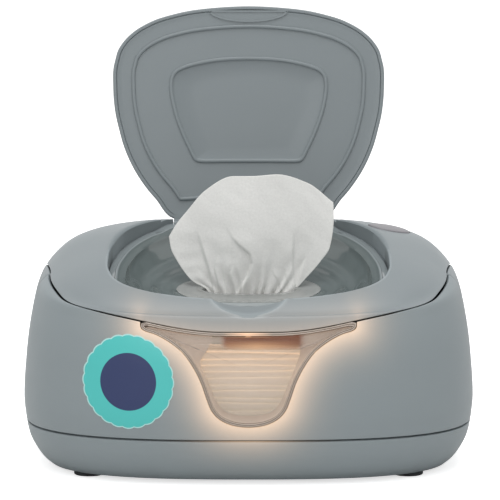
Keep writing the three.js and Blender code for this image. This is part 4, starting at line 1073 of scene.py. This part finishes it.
finish_piece("lamp_lens", lamp, lamp_glass.material, "cover", ["indicator_lamp"])

# %% [markdown]
# ## Basin and mouth
# Under the lid lies a glossy dish that falls in soft steps to an oval mouth. The dish's rings
# morph from the lid's own outline at the flange to the oval at the mouth, and low broad steps run
# round it. A soft pale seal sits in the mouth and grips the wipe.

# %% Basin
MOUTH_X, MOUTH_S, MOUTH_AT = 28.5, 10.5, -2.0
BASIN_TOP, DISH_DEPTH, RING_TOP, FLANGE_FLOOR = -3.1, 14.9, -2.62, -3.45
DISH_FLOOR = BASIN_TOP - DISH_DEPTH
HINGE_SIDE_S = 56.3
dish_edge, flange_edge, bowl_edge = (rim_radius(growth) for growth in (-7.8, 0.3, -4.1))
dish_blend = smooth_table([0, 0.25, 0.56, 0.86, 1], [0, 0.05, 0.22, 0.58, 1])
# How far inside the lid's outline each ring of the raised ring lies, and how high it stands.
RAISED_RING = ((-2.75, -3.4), (-2.85, -3.15), (-2.98, -2.8), (-3.2, RING_TOP - 0.02),
               (-3.4, RING_TOP), (-3.9, RING_TOP), (-4.2, RING_TOP - 0.1), (-4.6, -3.05),
               (-5.2, -3.5), (-6.2, -3.8))


def dish_ring(blend, t, margin=3.9, out=0.0):
    """A ring between the dish's edge and, at blend 1, the mouth's oval grown by margin."""
    ring = []
    for phi in PHIS:
        edge, c, s = dish_edge(phi), math.cos(phi), math.sin(phi)
        angle = math.atan2((LID_MIDDLE + edge * s - MOUTH_AT) / MOUTH_S, edge * c / MOUTH_X)
        at_edge = Vector(((edge + out) * c, LID_MIDDLE + (edge + out) * s))
        at_mouth = Vector(((MOUTH_X + margin + out) * math.cos(angle),
                           MOUTH_AT + (MOUTH_S + margin + out) * math.sin(angle)))
        ring.append(from_rim(*at_edge.lerp(at_mouth, blend), t))
    return ring


def flange_place(radius, phi, t):
    """A point of the flange, kept in front of the lid's hinge."""
    return from_rim(radius * math.cos(phi),
                    min(LID_MIDDLE + radius * math.sin(phi), HINGE_SIDE_S), t)


def ring_lift(phi):
    """1 where the raised ring stands, 0 under the lid's tab and beside its hinge."""
    reach = flange_edge(phi)
    x, s = abs(reach * math.cos(phi)), LID_MIDDLE + reach * math.sin(phi)
    if s < LID_FRONT + 25:
        return held((x - 25) / 6)
    return held((x - 48) / 8) if s > 26 else 1


def ripple_t(share):
    """Where the dish lies a share of the way down: it falls in low broad steps."""
    blend = dish_blend(share)
    fade = math.sin(math.pi * min(blend * 1.15, 1)) ** 0.5
    return BASIN_TOP - share * DISH_DEPTH + 0.4 * math.sin(2 * math.pi * 3.2 * blend) * fade


loops = [[flange_place(flange_edge(phi), phi, t) for phi in PHIS] for t in (-4.9, -3.35)]
for growth, t in RAISED_RING:
    read = rim_radius(growth)
    loops.append([flange_place(read(phi), phi, min(t, FLANGE_FLOOR + (t - FLANGE_FLOOR)
                                                   * ring_lift(phi))) for phi in PHIS])
loops += [dish_ring(dish_blend(share), ripple_t(share)) for share in spread(0.09, 0.97, 44)]
loops += [dish_ring(1, DISH_FLOOR - down, margin=margin)
          for down, margin in ((0.1, 0.6), (0.5, 0), (1.8, 0))]
loops += [dish_ring(dish_blend(share), BASIN_TOP - 1.8 - share * DISH_DEPTH, out=1.8)
          for share in spread(1, 0.3, 12)]
loops += [[rim_place(dish_edge(phi) + 1.8, phi, -4.9) for phi in PHIS]]
basin = lay_rings(loops, loop=True)
glossy = Finish("glossy_dish", roughness=0.16, specular_ior_level=0.55, coat_weight=0.6)
dish_tone = glossy.blend(glossy.grain(40, 2.0), linear(88, 98, 98), linear(98, 108, 107))
# The flange and raised ring are painted lighter than the dark bowl: painted light, as if lit from
# above.
glossy.set(base_color=glossy.blend(glossy.painted("bowl"), linear(140, 148, 150), dish_tone),
           roughness=glossy.grain(90, 2.0) * 0.06 + 0.10)
glossy.bump(glossy.grain(220, 1.0), 0.00006, 0.4)
basin_piece = finish_piece("glossy_basin", basin, glossy.material, "cover", ["dispenser_basin"],
                           50)


def in_bowl(place):
    phi, reach, _ = rim_polar(place)
    return (bowl_edge(phi) - reach) / 0.5


# The bowl number is 0 on the painted light of the flange and ring, and 1 in the dark bowl.
paint(basin_piece, "bowl", in_bowl)

# %% Mouth seal
SEAL_T = DISH_FLOOR + 0.3
# The seal's section: rings of the mouth by margin and height over SEAL_T, and between them rings
# of the flap, by share of the way down the dish and lift over it.
SEAL_INSIDE = ((-3.9, -3.6), (-3.9, 0), (-3.6, 0.5), (-2.6, 0.8), (0.6, 0.8))
SEAL_FLAP = ((0.985, 0.75), (0.965, 0.75), (0.952, 0.7), (0.946, 0.5), (0.943, 0.25),
             (0.948, 0.12), (0.965, 0.12), (0.98, 0.12))
SEAL_UNDER = ((0.5, -0.1), (-0.3, -0.3), (-0.3, -3.6))


def mouth_rings(section):
    return [dish_ring(1, SEAL_T + lift, margin=margin) for margin, lift in section]


flap = [dish_ring(dish_blend(share), ripple_t(share) + lift) for share, lift in SEAL_FLAP]
seal = lay_rings(mouth_rings(SEAL_INSIDE) + flap + mouth_rings(SEAL_UNDER), loop=True)
silicone = Finish("soft_seal", roughness=0.25, specular_ior_level=0.5, coat_weight=0.6, alpha=0.55)
silicone.set(base_color=silicone.blend(silicone.grain(150), linear(176, 179, 177),
                                       linear(196, 198, 195)))
silicone.bump(silicone.grain(700), 0.00008, 0.5)
finish_piece("mouth_gasket", seal, silicone.material, "cover", ["mouth_seal"], 50)

# %% [markdown]
# ## Flip lid
# The lid is drawn shut, in the rim's own directions, and then swung open about its pin, as the
# real one is. Its shell is a shallow dome with a rounded edge. The inner panel is one skin of
# rings: they follow the lid's outline near the edge, morph into the smaller shape of the inner
# bead, and rise over both beads with a round section.

# %% Flip lid
OPEN = math.radians(-116.4)
EDGE, LID_LOW, LID_WALL, DOME_RISE = 0.75, -2.9, 2, 7.8
dome_scale = smooth_table([0, 0.1, 0.4, 0.7, 0.91, 1], [1, 0.985, 0.9, 0.73, 0.48, 0.14])


def swung(bm):
    c, s = math.cos(OPEN), math.sin(OPEN)
    for vert in bm.verts:
        y, z = vert.co.y - AXIS_Y * MM, vert.co.z - AXIS_Z * MM
        vert.co.y, vert.co.z = AXIS_Y * MM + y * c - z * s, AXIS_Z * MM + y * s + z * c
    return bm


def lid_ring(distance, t, scale=1.0):
    return [from_rim(p.x * scale, LID_MIDDLE + (p.y - LID_MIDDLE) * scale, t)
            for p in grow(LID_OUTLINE, distance)]


def edge_ring(start, turn, way):
    """A ring of the lid's rounded lower edge, outside (way -1) or inside (way 1)."""
    a = math.radians(turn)
    return lid_ring(start + way * EDGE * (1 - math.cos(a)), LID_LOW + EDGE * (1 + math.sin(a)))


loops = [edge_ring(0, turn, -1) for turn in spread(-90, 0, 5)]
loops += [lid_ring(0, -1.2), lid_ring(0, -0.3)]
loops += [lid_ring(0, share * DOME_RISE, dome_scale(share)) for share in spread(0.02, 1, 26)]
outer_top = loops[-1]
inside = [lid_ring(-LID_WALL, share * DOME_RISE - LID_WALL * min(1, 0.4 + share),
                   dome_scale(share)) for share in spread(1, 0.02, 16)]
loops += inside + [lid_ring(-LID_WALL, -0.6), lid_ring(-LID_WALL, -2.3)]
loops += [edge_ring(-LID_WALL, -turn, 1) for turn in (30, 60)]
shell = lay_rings(loops, loop=True)
shell = carve(shell, lay_rings([outer_top, inside[0]]), "UNION")
web = rim_bar(((54.4, LID_LOW), (57, LID_LOW), (AXIS_S - 2.4, -5.416), (AXIS_S, -5.416),
               (AXIS_S, -2.566), (56, -0.5), (54.4, -0.5)), WEB_HALF)
shell = carve(shell, web, "UNION")
shell = carve(shell, bar(AXIS_Y, AXIS_Z, 3, -WEB_HALF, WEB_HALF), "UNION")
shell = carve(shell, bar(AXIS_Y, AXIS_Z, PIN_BORE, -60, 60))
finish_piece("lid_dome", swung(shell), lid_grey, "flip_lid", ["lid_shell"])

# %% Lid panel
plate_half = [(0, -31.9), (15.4, -31.2), (26.3, -29.5), (35.6, -26.9), (39.9, -24.7), (42.3, -21.6),
              (43.2, -17), (43.1, -13), (42.2, -7), (40.2, 1), (36.3, 11.4), (31.9, 20.8),
              (30.0, 24.4), (28.3, 25.9), (26.0, 26.3), (12, 26.3)]
plate = closed_curve(plate_half + [(0, 26.3)] + [(-x, s) for x, s in plate_half[:0:-1]], 320)
CENTRE_S, FACE, BEAD_WIDTH, BEAD_START, BEAD_END = 2.0, -2.2, 2.2, 10, 12.4
LID_PHIS = turns(360)


def inward(outline, distance):
    return polar_reader(grow(outline, -distance), CENTRE_S)


def panel_ring(read, t):
    return [from_rim(read(phi) * math.cos(phi), CENTRE_S + read(phi) * math.sin(phi), t)
            for phi in LID_PHIS]


def bead_rings(outline, start, height):
    """Rings over a bead of round section; start is where it begins inside the outline."""
    result = []
    for k in range(9):
        turn = math.pi * k / 8
        read = inward(outline, start + BEAD_WIDTH / 2 * (1 - math.cos(turn)))
        result.append(panel_ring(read, FACE - height * math.sin(turn) ** 0.8
                                 if 0 < k < 8 else FACE))
    return result


loops = [panel_ring(inward(LID_OUTLINE, d), t) for d, t in
         ((2.08, -0.9), (2.08, -2.2), (2.3, -2.42), (2.8, -2.4), (3.6, -2.25), (5, FACE),
          (8, FACE), (9.8, FACE))]
loops += bead_rings(LID_OUTLINE, BEAD_START, 1.2)
outer_read, inner_read = inward(LID_OUTLINE, BEAD_END), inward(plate, -0.3)
for share in (0, 0.35, 0.7, 1):
    loops.append(panel_ring(lambda phi: outer_read(phi) * (1 - share) + inner_read(phi) * share,
                            FACE))
loops += bead_rings(plate, 0, 1.0)
floor_read = inward(plate, 2.5)
for share in (1, 0.7, 0.4, 0.1):
    loops.append(panel_ring(lambda phi: floor_read(phi) * share, FACE + 0.15))
arc = [(21.5 * math.cos(a), LID_FRONT + 2.4 + 6.4 * math.sin(a)) for a in spread(0, math.pi, 48)]
tab = carve(rim_prism(arc, FACE - 0.75, FACE + 0.6),
            rim_prism(grow(arc, -1.0), FACE - 0.9, FACE - 0.35))
panel = carve(lay_rings(loops), tab, "UNION")
finish_piece("lid_inner_panel", swung(panel), lid_grey, "flip_lid", ["lid_panel"])

# %% [markdown]
# ## Refill window
# The window is a funnel: a rounded frame strip round its edge, a clear curved pane, slanting inner
# walls and, at the top, a clear ledge that carries the lamp's light. The strip is a small section
# carried round the funnel on the outer form; its top run follows the seam.

# %% Window strip
def window_loop(distance, count=200):
    """The window's whole edge, moved inward, with its top under the seam and round corners."""
    def top_of(x):
        return seam_line(x) + 0.1 - distance
    side = [p for p in window_side(distance) if p.y < top_of(p.x)]
    top_run = [(x, top_of(x)) for x in spread(side[-1].x, side[0].x, 40)]
    return closed_curve([(p.x, p.y) for p in side[1::3]] + top_run[1:-1], count)


# The strip's section: how far inside the window's edge, how high over the form, and how deep the
# painted shade is there, which darkens the groove and the sides that drop into the gaps.
STRIP = ((0, -2.1, 1), (0, -0.3, 1), (0.1, 0.0, 0.7), (0.28, 0.14, 0.1), (0.5, 0.16, 0),
         (0.68, 0.02, 0.6), (0.8, -0.16, 1), (0.9, -0.16, 1), (1.02, 0.0, 0.6), (1.2, 0.1, 0),
         (1.4, 0.06, 0), (1.56, -0.15, 0.7), (1.62, -0.5, 1), (1.65, -2.1, 1))
loops = [[on_front(p.x, p.y, lift) for p in window_loop(0.3 + inset)] for inset, lift, _ in STRIP]
smoked = Finish("smoked_strip", roughness=0.24, specular_ior_level=0.5, coat_weight=0.3)
x, z = smoked.axis(0), smoked.axis(2)
# Painted light: a faint warm glow over the whole strip, and a bright spot of the lamp's light along
# the middle of its top.
lamp_line = (1 - ((x + 0.0005).size() / 0.013)).held() * z.above(0.0795, 0.0008)
pale = smoked.blend(smoked.grain(60), linear(176, 163, 151), linear(192, 179, 166))
# The line number blends in a darker colour: painted shade in the groove and down the strip's sides.
smoked.set(base_color=smoked.blend(smoked.painted("line"), pale, linear(118, 104, 94)),
           emission_color=smoked.blend(lamp_line, linear(52, 44, 38), linear(255, 196, 148)),
           emission_strength=0.75)
smoked.bump(smoked.grain(500), 0.00005, 0.4)
strip_piece = finish_piece("window_strip", lay_rings(loops, loop=True), smoked.material, "base",
                           ["window_bezel"])
# Paints the shade column of STRIP on the strip's rings.
lines = strip_piece.data.attributes.new("line", "FLOAT", "POINT")
for number, value in enumerate(lines.data):
    value.value = STRIP[number // len(loops[0])][2]

# %% Window pane
PANE_MIDDLE = Vector((0.0, 62.0))
edge_loop = window_loop(2.25, 160)


def pane_ring(share, lift):
    return [on_front(*PANE_MIDDLE.lerp(p, share), lift) for p in edge_loop]


pane = lay_rings([pane_ring(s, -0.1) for s in (0.05, 0.2, 0.35, 0.5, 0.65, 0.8, 0.92, 1)]
                 + [pane_ring(s, -1.8) for s in (1, 0.9, 0.7, 0.5, 0.3, 0.05)])
clear = Finish("clear_pane", base_color=linear(226, 216, 208), roughness=0.06,
               specular_ior_level=0.15, alpha=0.05)
clear.set(roughness=clear.grain(30) * 0.05 + 0.05)
finish_piece("window_glass", pane, clear.material, "base", ["window_pane"], 50)

# %% Funnel walls
# Half widths of the funnel's rear end by height; its top corners differ from left to right.
REAR_ZS = (33.8, 37.6, 45.4, 54.3, 63.2, 70.1, 77.1)
half_right = smooth_table(REAR_ZS, (8.8, 15.2, 19.7, 23.4, 27.0, 28.9, 25.1))
half_left = smooth_table(REAR_ZS, (8.8, 15.2, 19.7, 23.4, 27.0, 23.2, 20.1))
outer_half = smooth_table([WINDOW_LOW] + [z for _, z in right_side[-2::-1]],
                          [0.01] + [x for x, _ in right_side[-2::-1]])
FUNNEL_BACK, BACK_LOW, BACK_TOP, WALL_FRONT = -71.0, 33.8, 78.4, -2.75


def behind(p):
    """Where a point of the window's edge goes at the rear end of the funnel."""
    share = held((p.y - WINDOW_LOW) / (seam_line(p.x) - 0.4 - WINDOW_LOW))
    z = BACK_LOW + share * (BACK_TOP - BACK_LOW)
    half = half_right(z) if p.x > 0 else half_left(z)
    return Vector((p.x / max(outer_half(p.y), abs(p.x), 1) * half, FUNNEL_BACK, z))


def funnel_loop(distance, depth_share):
    """A loop on the funnel's inner wall; 0 is at the front of the wall and 1 at its rear end."""
    return [on_front(p.x, p.y, WALL_FRONT).lerp(behind(p), depth_share)
            for p in window_loop(1.65 + distance)]


outside_front = [on_front(p.x, p.y, WALL_FRONT) for p in window_loop(0.35)]
outside_back = [Vector((p.x * (1 + 1.8 / max(abs(p.x), 8)), p.y, p.z + (-1.8 if p.z < 40 else 1.4)))
                for p in funnel_loop(0, 1)]
funnel_walls = lay_rings([outside_front] + [funnel_loop(0, s) for s in spread(0, 1, 8)]
                         + [outside_back], loop=True)
walls = Finish("funnel_wall", roughness=0.28, specular_ior_level=0.5)
# Painted light: the walls' emission grows warmer and brighter towards the top, for the lamp's light
# from above.
rise = (walls.axis(2) - 0.032) / 0.046
walls.set(base_color=walls.blend(walls.grain(80), linear(182, 169, 159), linear(198, 184, 173)),
          emission_color=walls.blend(rise.held(), linear(140, 122, 106), linear(226, 202, 180)),
          emission_strength=0.24)
walls.bump(walls.grain(300), 0.00006, 0.4)
finish_piece("window_funnel", funnel_walls, walls.material, "base", ["window_frame"],
             50)

# %% Ledge of the night light
ledge_rear = [p + Vector((0, 0, -0.1 if p.z > 70 else 0)) for p in funnel_loop(0.2, 0.95)]
guide = lay_rings([pane_ring(s, -3.1) for s in (0.05, 0.25, 0.45, 0.65, 0.82, 0.93, 0.998)]
                  + [ledge_rear])
guide = carve(guide, box((-80, -100, 72.0), (80, -74.9, 100)), "INTERSECT")
ledge = Finish("glowing_ledge", roughness=0.3, specular_ior_level=0.15)
x, z = ledge.axis(0), ledge.axis(2)
# The ledge carries the lamp's light. The region that inside marks, near its top middle, is painted
# dark brown as the shadow under the ledge. Over it, fall and side paint a pool of lamp light fading
# downward, and spot paints a bright spot at the top.
from_middle = ((x - 0.0072).size() - 0.0172).held()
from_top = (0.0752 - z).held()
round_off = (from_middle * from_middle + from_top * from_top) ** 0.5
inside = 1 - round_off.above(0.0036, 0.0024)
fall = (1 - (z - 0.0718) / 0.0052).held()
side = (1 - ((x - 0.004).size() / 0.026)).held()
spot = z.above(0.0784, 0.0005) * (1 - ((x - 0.001).size()).above(0.009, 0.004))
shine = (fall * side + spot * 0.9).held()
lit = ledge.blend(shine, linear(110, 56, 24), linear(255, 198, 142))
ledge.set(base_color=ledge.blend(inside, linear(178, 165, 154), linear(52, 28, 16)),
          emission_color=ledge.blend(inside, linear(116, 103, 92), lit), emission_strength=0.85,
          alpha=(inside * 0.55 + z.above(0.0742, 0.0022) * 0.6).held())
ledge.bump(ledge.grain(300), 0.00005, 0.4)
finish_piece("night_light_ledge", guide, ledge.material, "base", ["light_guide"])

# %% [markdown]
# ## Stack of wipes
# The wipes are folded into each other and stacked. From the front one sees a dozen soft folded
# edges, each a little out of line with the next. Every layer is a few rings with a rounded edge,
# and a low wave runs along it. The light of the lamp above is painted on the front of the stack as
# a warm emission, stronger on the upper layers.

# %% Stack
LAYERS, STACK_LOW, STACK_TOP = 12, 32.3, 73.8
STACK_X, STACK_Y, STACK_POWER = 90.5, 60.5, 2 / 4.2
LAYER = (STACK_TOP - STACK_LOW) / LAYERS
# The section of one folded edge: share of the layer's height, and how far it draws back.
FOLD = ((0.02, 1.5), (0.14, 0.55), (0.34, 0.1), (0.6, 0.05), (0.84, 0.5), (0.97, 1.4))


def fold_height(k, angle):
    if k in (0, LAYERS):
        return STACK_LOW + k * LAYER
    wave = noise.noise(Vector((5 * math.cos(angle), 5 * math.sin(angle), k * 1.7)))
    return STACK_LOW + k * LAYER + wave * LAYER * 0.8


def stack_ring(k, share, draw):
    ring = []
    for a in turns(256):
        slip = 1.1 * noise.noise(Vector((2 * math.cos(a), 2 * math.sin(a), k * 2.3 + 9))) + 0.5
        inset = max(draw + slip, 0.05)
        z = fold_height(k, a) * (1 - share) + fold_height(k + 1, a) * share
        ring.append(((STACK_X - inset) * signed_power(math.cos(a), STACK_POWER),
                     (STACK_Y - inset) * signed_power(math.sin(a), STACK_POWER), z))
    return ring


wipes = lay_rings([stack_ring(k, share, draw) for k in range(LAYERS) for share, draw in FOLD])
paper = Finish("moist_wipes", roughness=0.8, specular_ior_level=0.3)
# Painted light: a warm emission on the front of the stack, stronger higher up, stands in for the
# lamp's light.
up = ((paper.axis(2) - 0.034) / 0.040).held()
front = 1 - paper.axis(1).above(-0.050, 0.006)
fibre = paper.grain(420, 3.0, 0.65)
warm = paper.blend(up * up, linear(176, 162, 146), linear(255, 212, 172))
paper.set(base_color=paper.blend(fibre, linear(226, 216, 202), linear(242, 234, 223)),
          emission_color=paper.blend(front, (0, 0, 0), warm), emission_strength=0.46)
paper.bump(fibre, 0.0003, 0.6)
finish_piece("stacked_wipes", wipes, paper.material, "base", ["wipe_stack"], 60)

# %% [markdown]
# ## Sticker
# A plain round sticker with a scalloped edge lies on the front of the housing. It is a very thin
# pad on the outer form. Its colours are worked out from the distance to its middle.

# %% Sticker
STICK_X, STICK_Z, STICK_R, SQUEEZE = -62.6, 55.0, 24.3, 0.975


def scallop(angle):
    """How far the scalloped edge is from the sticker's middle in one direction."""
    return STICK_R * (0.985 + 0.03 * abs(math.cos(12 * angle)) ** 0.8)


scallops = [(STICK_X + SQUEEZE * scallop(a) * math.cos(a), STICK_Z + scallop(a) * math.sin(a))
            for a in turns(288)]
sticker = pad(on_front, scallops, (STICK_X, STICK_Z), 0.35, lift=0.22, edge=0.12, rings=7)
label = Finish("sticker", roughness=0.35, specular_ior_level=0.5)
away_x = (label.axis(0) - STICK_X * MM) / SQUEEZE
away_z = label.axis(2) - STICK_Z * MM
disc = ((away_x * away_x + away_z * away_z) ** 0.5).above(0.0150, 0.00015)
tone = label.blend(disc, linear(38, 52, 96), linear(78, 194, 189))
label.set(base_color=label.blend(label.painted("edge").above(0.975, 0.004), tone,
                                 linear(176, 222, 218)))
label.bump(label.grain(900), 0.00003, 0.4)
sticker_piece = finish_piece("round_sticker", sticker, label.material, "base", ())


def edge_share(place):
    dx, dz = (place.x - STICK_X) / SQUEEZE, place.z - STICK_Z
    return math.hypot(dx, dz) / scallop(math.atan2(dz, dx))


paint(sticker_piece, "edge", edge_share)

# %% [markdown]
# ## Standing wipe
# One wipe has been drawn up through the mouth. It is a thin sheet: gathered into pleats where the
# mouth grips it and fanned out above. Four measured edges bound it in the front view, and the sheet
# between them is blended from the edges. Pleats push it to the front and rear, deep and narrow
# below, wide and soft above.

# %% Wipe
def open_curve(points):
    lengths = [0.0]
    for a, b in zip(points, points[1:]):
        lengths.append(lengths[-1] + math.dist(a, b))
    shares = [l / lengths[-1] for l in lengths]
    xs, zs = (smooth_table(shares, [p[i] for p in points]) for i in (0, 1))
    return lambda t: Vector((xs(t), zs(t)))


MOUTH_Y, WIPE_FOOT = -1.6, 89.0
left_edge = open_curve([(-20.5, WIPE_FOOT), (-22.6, 91.8), (-29.4, 95.6), (-38.0, 106.3),
                        (-41.4, 113.0), (-42.4, 118.9)])
right_edge = open_curve([(21.5, WIPE_FOOT), (25.0, 91.8), (30.0, 97.0), (38.4, 106.5),
                         (43.3, 113.9), (45.4, 129.1), (45.2, 137.2)])
top_edge = open_curve([(-42.4, 118.9), (-38.6, 125.4), (-32.8, 132.8), (-22.7, 144.5),
                       (-8.0, 152.3), (2.5, 152.4), (14.5, 153.1), (31.0, 148.2), (45.2, 137.2)])
foot_edge = open_curve([(-20.5, WIPE_FOOT), (0, WIPE_FOOT), (21.5, WIPE_FOOT)])


# Creases as (x, z) lines, each with a depth and a fade. At a crease the sheet laps: it steps back
# on one side, stands out on the other, and settles again over the fade.
CREASES = [([(-28, 124), (-24.5, 113), (-20.5, 100), (-18.5, 90)], 1.5, 3.2),
           ([(-13.1, 127.3), (-8.5, 119.5), (-4.6, 115.5), (0.5, 111), (1.8, 106), (-0.5, 99),
             (-6.2, 90)], 1.3, 5.5),
           ([(24.0, 125), (23.8, 115), (23.4, 104), (24.4, 95)], -1.1, 3.5),
           ([(30.5, 109), (28.6, 104), (26.8, 97), (26.2, 91)], 1.1, 1.8),
           ([(-17.0, 110), (-18.2, 103), (-16.2, 95), (-15.5, 89)], 0.8, 1.3),
           ([(-12.4, 109), (-13.4, 102), (-13, 95), (-12.6, 89)], 0.75, 1.3),
           ([(-8.0, 106), (-10.0, 100), (-9.6, 91)], 0.6, 1.2),
           ([(12.0, 103), (15.0, 97.5), (17.4, 90)], 0.7, 1.4),
           ([(18.2, 105), (20.4, 98), (21.2, 91)], 0.6, 1.1)]


def crease_push(x, z):
    push = 0.0
    for line, depth, fade in CREASES:
        best, side, along, count = 1e9, 0.0, 0.0, len(line) - 1
        for k in range(count):
            (ax, az), (bx, bz) = line[k], line[k + 1]
            dx, dz = bx - ax, bz - az
            t = held(((x - ax) * dx + (z - az) * dz) / (dx * dx + dz * dz))
            gap = math.hypot(x - ax - t * dx, z - az - t * dz)
            if gap < best:
                best, along = gap, (k + t) / count
                side = math.copysign(1, (x - ax) * -dz + (z - az) * dx)
        if best < fade * 5:
            ease = min(1, along * 2.5) ** 1.5
            push -= depth * ease * side * (1 - math.exp(-best / 0.45)) * math.exp(-best / fade)
    return push


def wipe_point(u, v):
    lower, upper = foot_edge(u), top_edge(u)
    left, right = left_edge(v), right_edge(v)
    plain = (left * (1 - u) + right * u + lower * (1 - v) + upper * v
             - left_edge(0) * (1 - u) * (1 - v) - right_edge(0) * u * (1 - v)
             - left_edge(1) * (1 - u) * v - right_edge(1) * u * v)
    wide = math.sin(2 * math.pi * (1.1 * u + 0.24 + 0.04 * math.sin(3.1 * v + 1.0)))
    tight = math.sin(2 * math.pi * (9.0 * u + 0.8 * noise.noise(Vector((u * 5, 3, 0)))))
    soft = noise.noise(Vector((u * 3.0, v * 2.0, 4.2)))
    depth = wide * (0.9 + 3.2 * v) + tight * (1 - v) ** 5 + soft * (0.8 + 1.4 * v)
    depth += crease_push(plain.x, plain.y) * min(1, 0.35 + 3 * v)
    depth += noise.noise(Vector((u * 11 + v * 4, v * 8, 1.3))) * 0.3
    limit = 4.7 + 70 * v
    depth = max(-limit, min(limit, depth))
    return (plain.x, MOUTH_Y + depth + 6.0 * v * v, plain.y)


wipe = lay_grid([[wipe_point(u, v) for u in spread(0, 1, 190)] for v in spread(0, 1, 130)])
bmesh.ops.recalc_face_normals(wipe, faces=wipe.faces)
cloth = Finish("soft_cloth", roughness=0.85, specular_ior_level=0.2, sheen_weight=0.15)
weave = cloth.grain(900, 2.0, 0.6)
cloth.set(base_color=cloth.blend(weave, linear(222, 222, 219), linear(239, 239, 236)))
cloth.bump(cloth.grain(600, 2.0), 0.0002, 0.5)
wipe_piece = finish_piece("drawn_wipe", wipe, cloth.material, "cover", ["standing_wipe"],
                          180)
thick = wipe_piece.modifiers.new("thickness", "SOLIDIFY")
thick.thickness, thick.offset, thick.use_even_offset = 0.00045, 0, True
area = sum(f.area for f in wipe_piece.data.polygons)
print("wipe area in square centimetres", round(area * 1e4, 1))

# %% [markdown]
# ## Pieces that stay as they are
# The parts inside, such as the tub, the heater and the boards, are plain shapes already, so their
# CAD nodes stay and only get a finish.

# %% Finishes of the inner parts
def plain(name, dark, light, roughness, scale=200, bump=0.00005, **more):
    finish = Finish(name, **more)
    pattern = finish.grain(scale, 3.0)
    finish.set(base_color=finish.blend(pattern, linear(*dark), linear(*light)),
               roughness=pattern * 0.12 + roughness - 0.06)
    finish.bump(pattern, bump, 0.5)
    return finish.material


INNER = [
    (plain("bright_steel", (176, 178, 182), (198, 200, 204), 0.28, 700, metallic=1.0),
     ("cover_hinge_pin_left", "cover_hinge_pin_right", "lid_hinge_pin", "thermostat")),
    (plain("green_board", (34, 92, 62), (46, 112, 76), 0.45),
     ("control_board", "switch_board", "night_light_board")),
    (plain("white_tub", (216, 218, 216), (228, 230, 228), 0.4, 40), ("wipe_tub",)),
    (plain("heater_metal", (160, 163, 166), (184, 187, 190), 0.38, 300, metallic=1.0),
     ("heater_plate",)),
    (plain("grey_felt", (196, 192, 180), (220, 215, 202), 0.95, 900, 0.0004),
     ("insulation_pad",)),
    (plain("black_socket", (30, 31, 33), (44, 45, 47), 0.5), ("power_inlet",)),
    (plain("tub_pane", (230, 224, 218), (238, 232, 226), 0.12, 30, alpha=0.12),
     ("tub_window",)),
    (plain("lamp_bead", (250, 214, 170), (255, 224, 186), 0.3, emission_color=WARM_GLOW,
           emission_strength=0.8), ("night_light_lamp",))]
for material, names in INNER:
    for name in names:
        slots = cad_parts[name].data.materials
        slots.clear()
        slots.append(material)
print("kept nodes", sum(len(names) for _, names in INNER))

# %% [markdown]
# ## Floor and light
# The picture is a product shot on white. A wide floor runs past the edges of the view and holds the
# soft shadow. Camera, glossy and transmitted rays see a plain white, and the lamps stay at a plain
# level: a large softbox above, slightly in front, and an even sky.

# %% Floor
FLOOR_REACH, SEEN_WHITE, AMBIENT = 9, 0.68, 0.62
ground = bmesh.new()
bmesh.ops.create_grid(ground, x_segments=1, y_segments=1, size=FLOOR_REACH)
floor = link("floor", ground)
matte = Finish("white_floor", roughness=0.9, base_color=linear(238, 238, 238),
               specular_ior_level=0.0)
tree = matte.wire


def emission(strength):
    return tree.node("ShaderNodeEmission", None, {"Color": (1, 1, 1, 1), "Strength": strength})


seen = tree.node("ShaderNodeLightPath", output=0)
glow_share = tree.node("ShaderNodeMixShader", None,
                       {0: seen, 1: emission(0.0), 2: emission(SEEN_WHITE)})
surface = Wire(tree.tree, matte.shader.outputs[0])
total = tree.node("ShaderNodeAddShader", None, {0: surface, 1: glow_share})
tree.tree.links.new(total.socket, tree.tree.nodes["Material Output"].inputs[0])
floor.data.materials.append(matte.material)

# %% Sky and lamps
world = bpy.data.worlds.new("studio")
bpy.context.scene.world = world
world.use_nodes = True
sky = world.node_tree
path = sky.nodes.new("ShaderNodeLightPath")
camera_ray, glossy_ray, clear_ray = (Wire(sky, path.outputs[f"Is {kind} Ray"])
                                     for kind in ("Camera", "Glossy", "Transmission"))
direct = (camera_ray + glossy_ray + clear_ray).held()
backdrop = sky.nodes["Background"]
backdrop.inputs["Color"].default_value = (1, 1, 1, 1)
sky.links.new((direct * (1 - AMBIENT) + AMBIENT).socket, backdrop.inputs["Strength"])


def softbox(name, place, aim, size, power):
    lamp_data = bpy.data.lights.new(name, "AREA")
    lamp_data.shape, lamp_data.size, lamp_data.size_y = "RECTANGLE", *size
    lamp_data.energy = power
    thing = bpy.data.objects.new(name, lamp_data)
    thing.location = place
    thing.rotation_euler = (Vector(aim) - Vector(place)).to_track_quat("-Z", "Y").to_euler()
    bpy.context.collection.objects.link(thing)


softbox("top_box", (0.0, -0.25, 1.5), (0, 0, 0.08), (1.2, 0.9), 10)
softbox("front_fill", (-0.5, -1.9, 0.9), (0, 0, 0.1), (1.0, 0.8), 5)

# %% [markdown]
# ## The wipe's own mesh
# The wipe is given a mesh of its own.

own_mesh(wipe_piece)
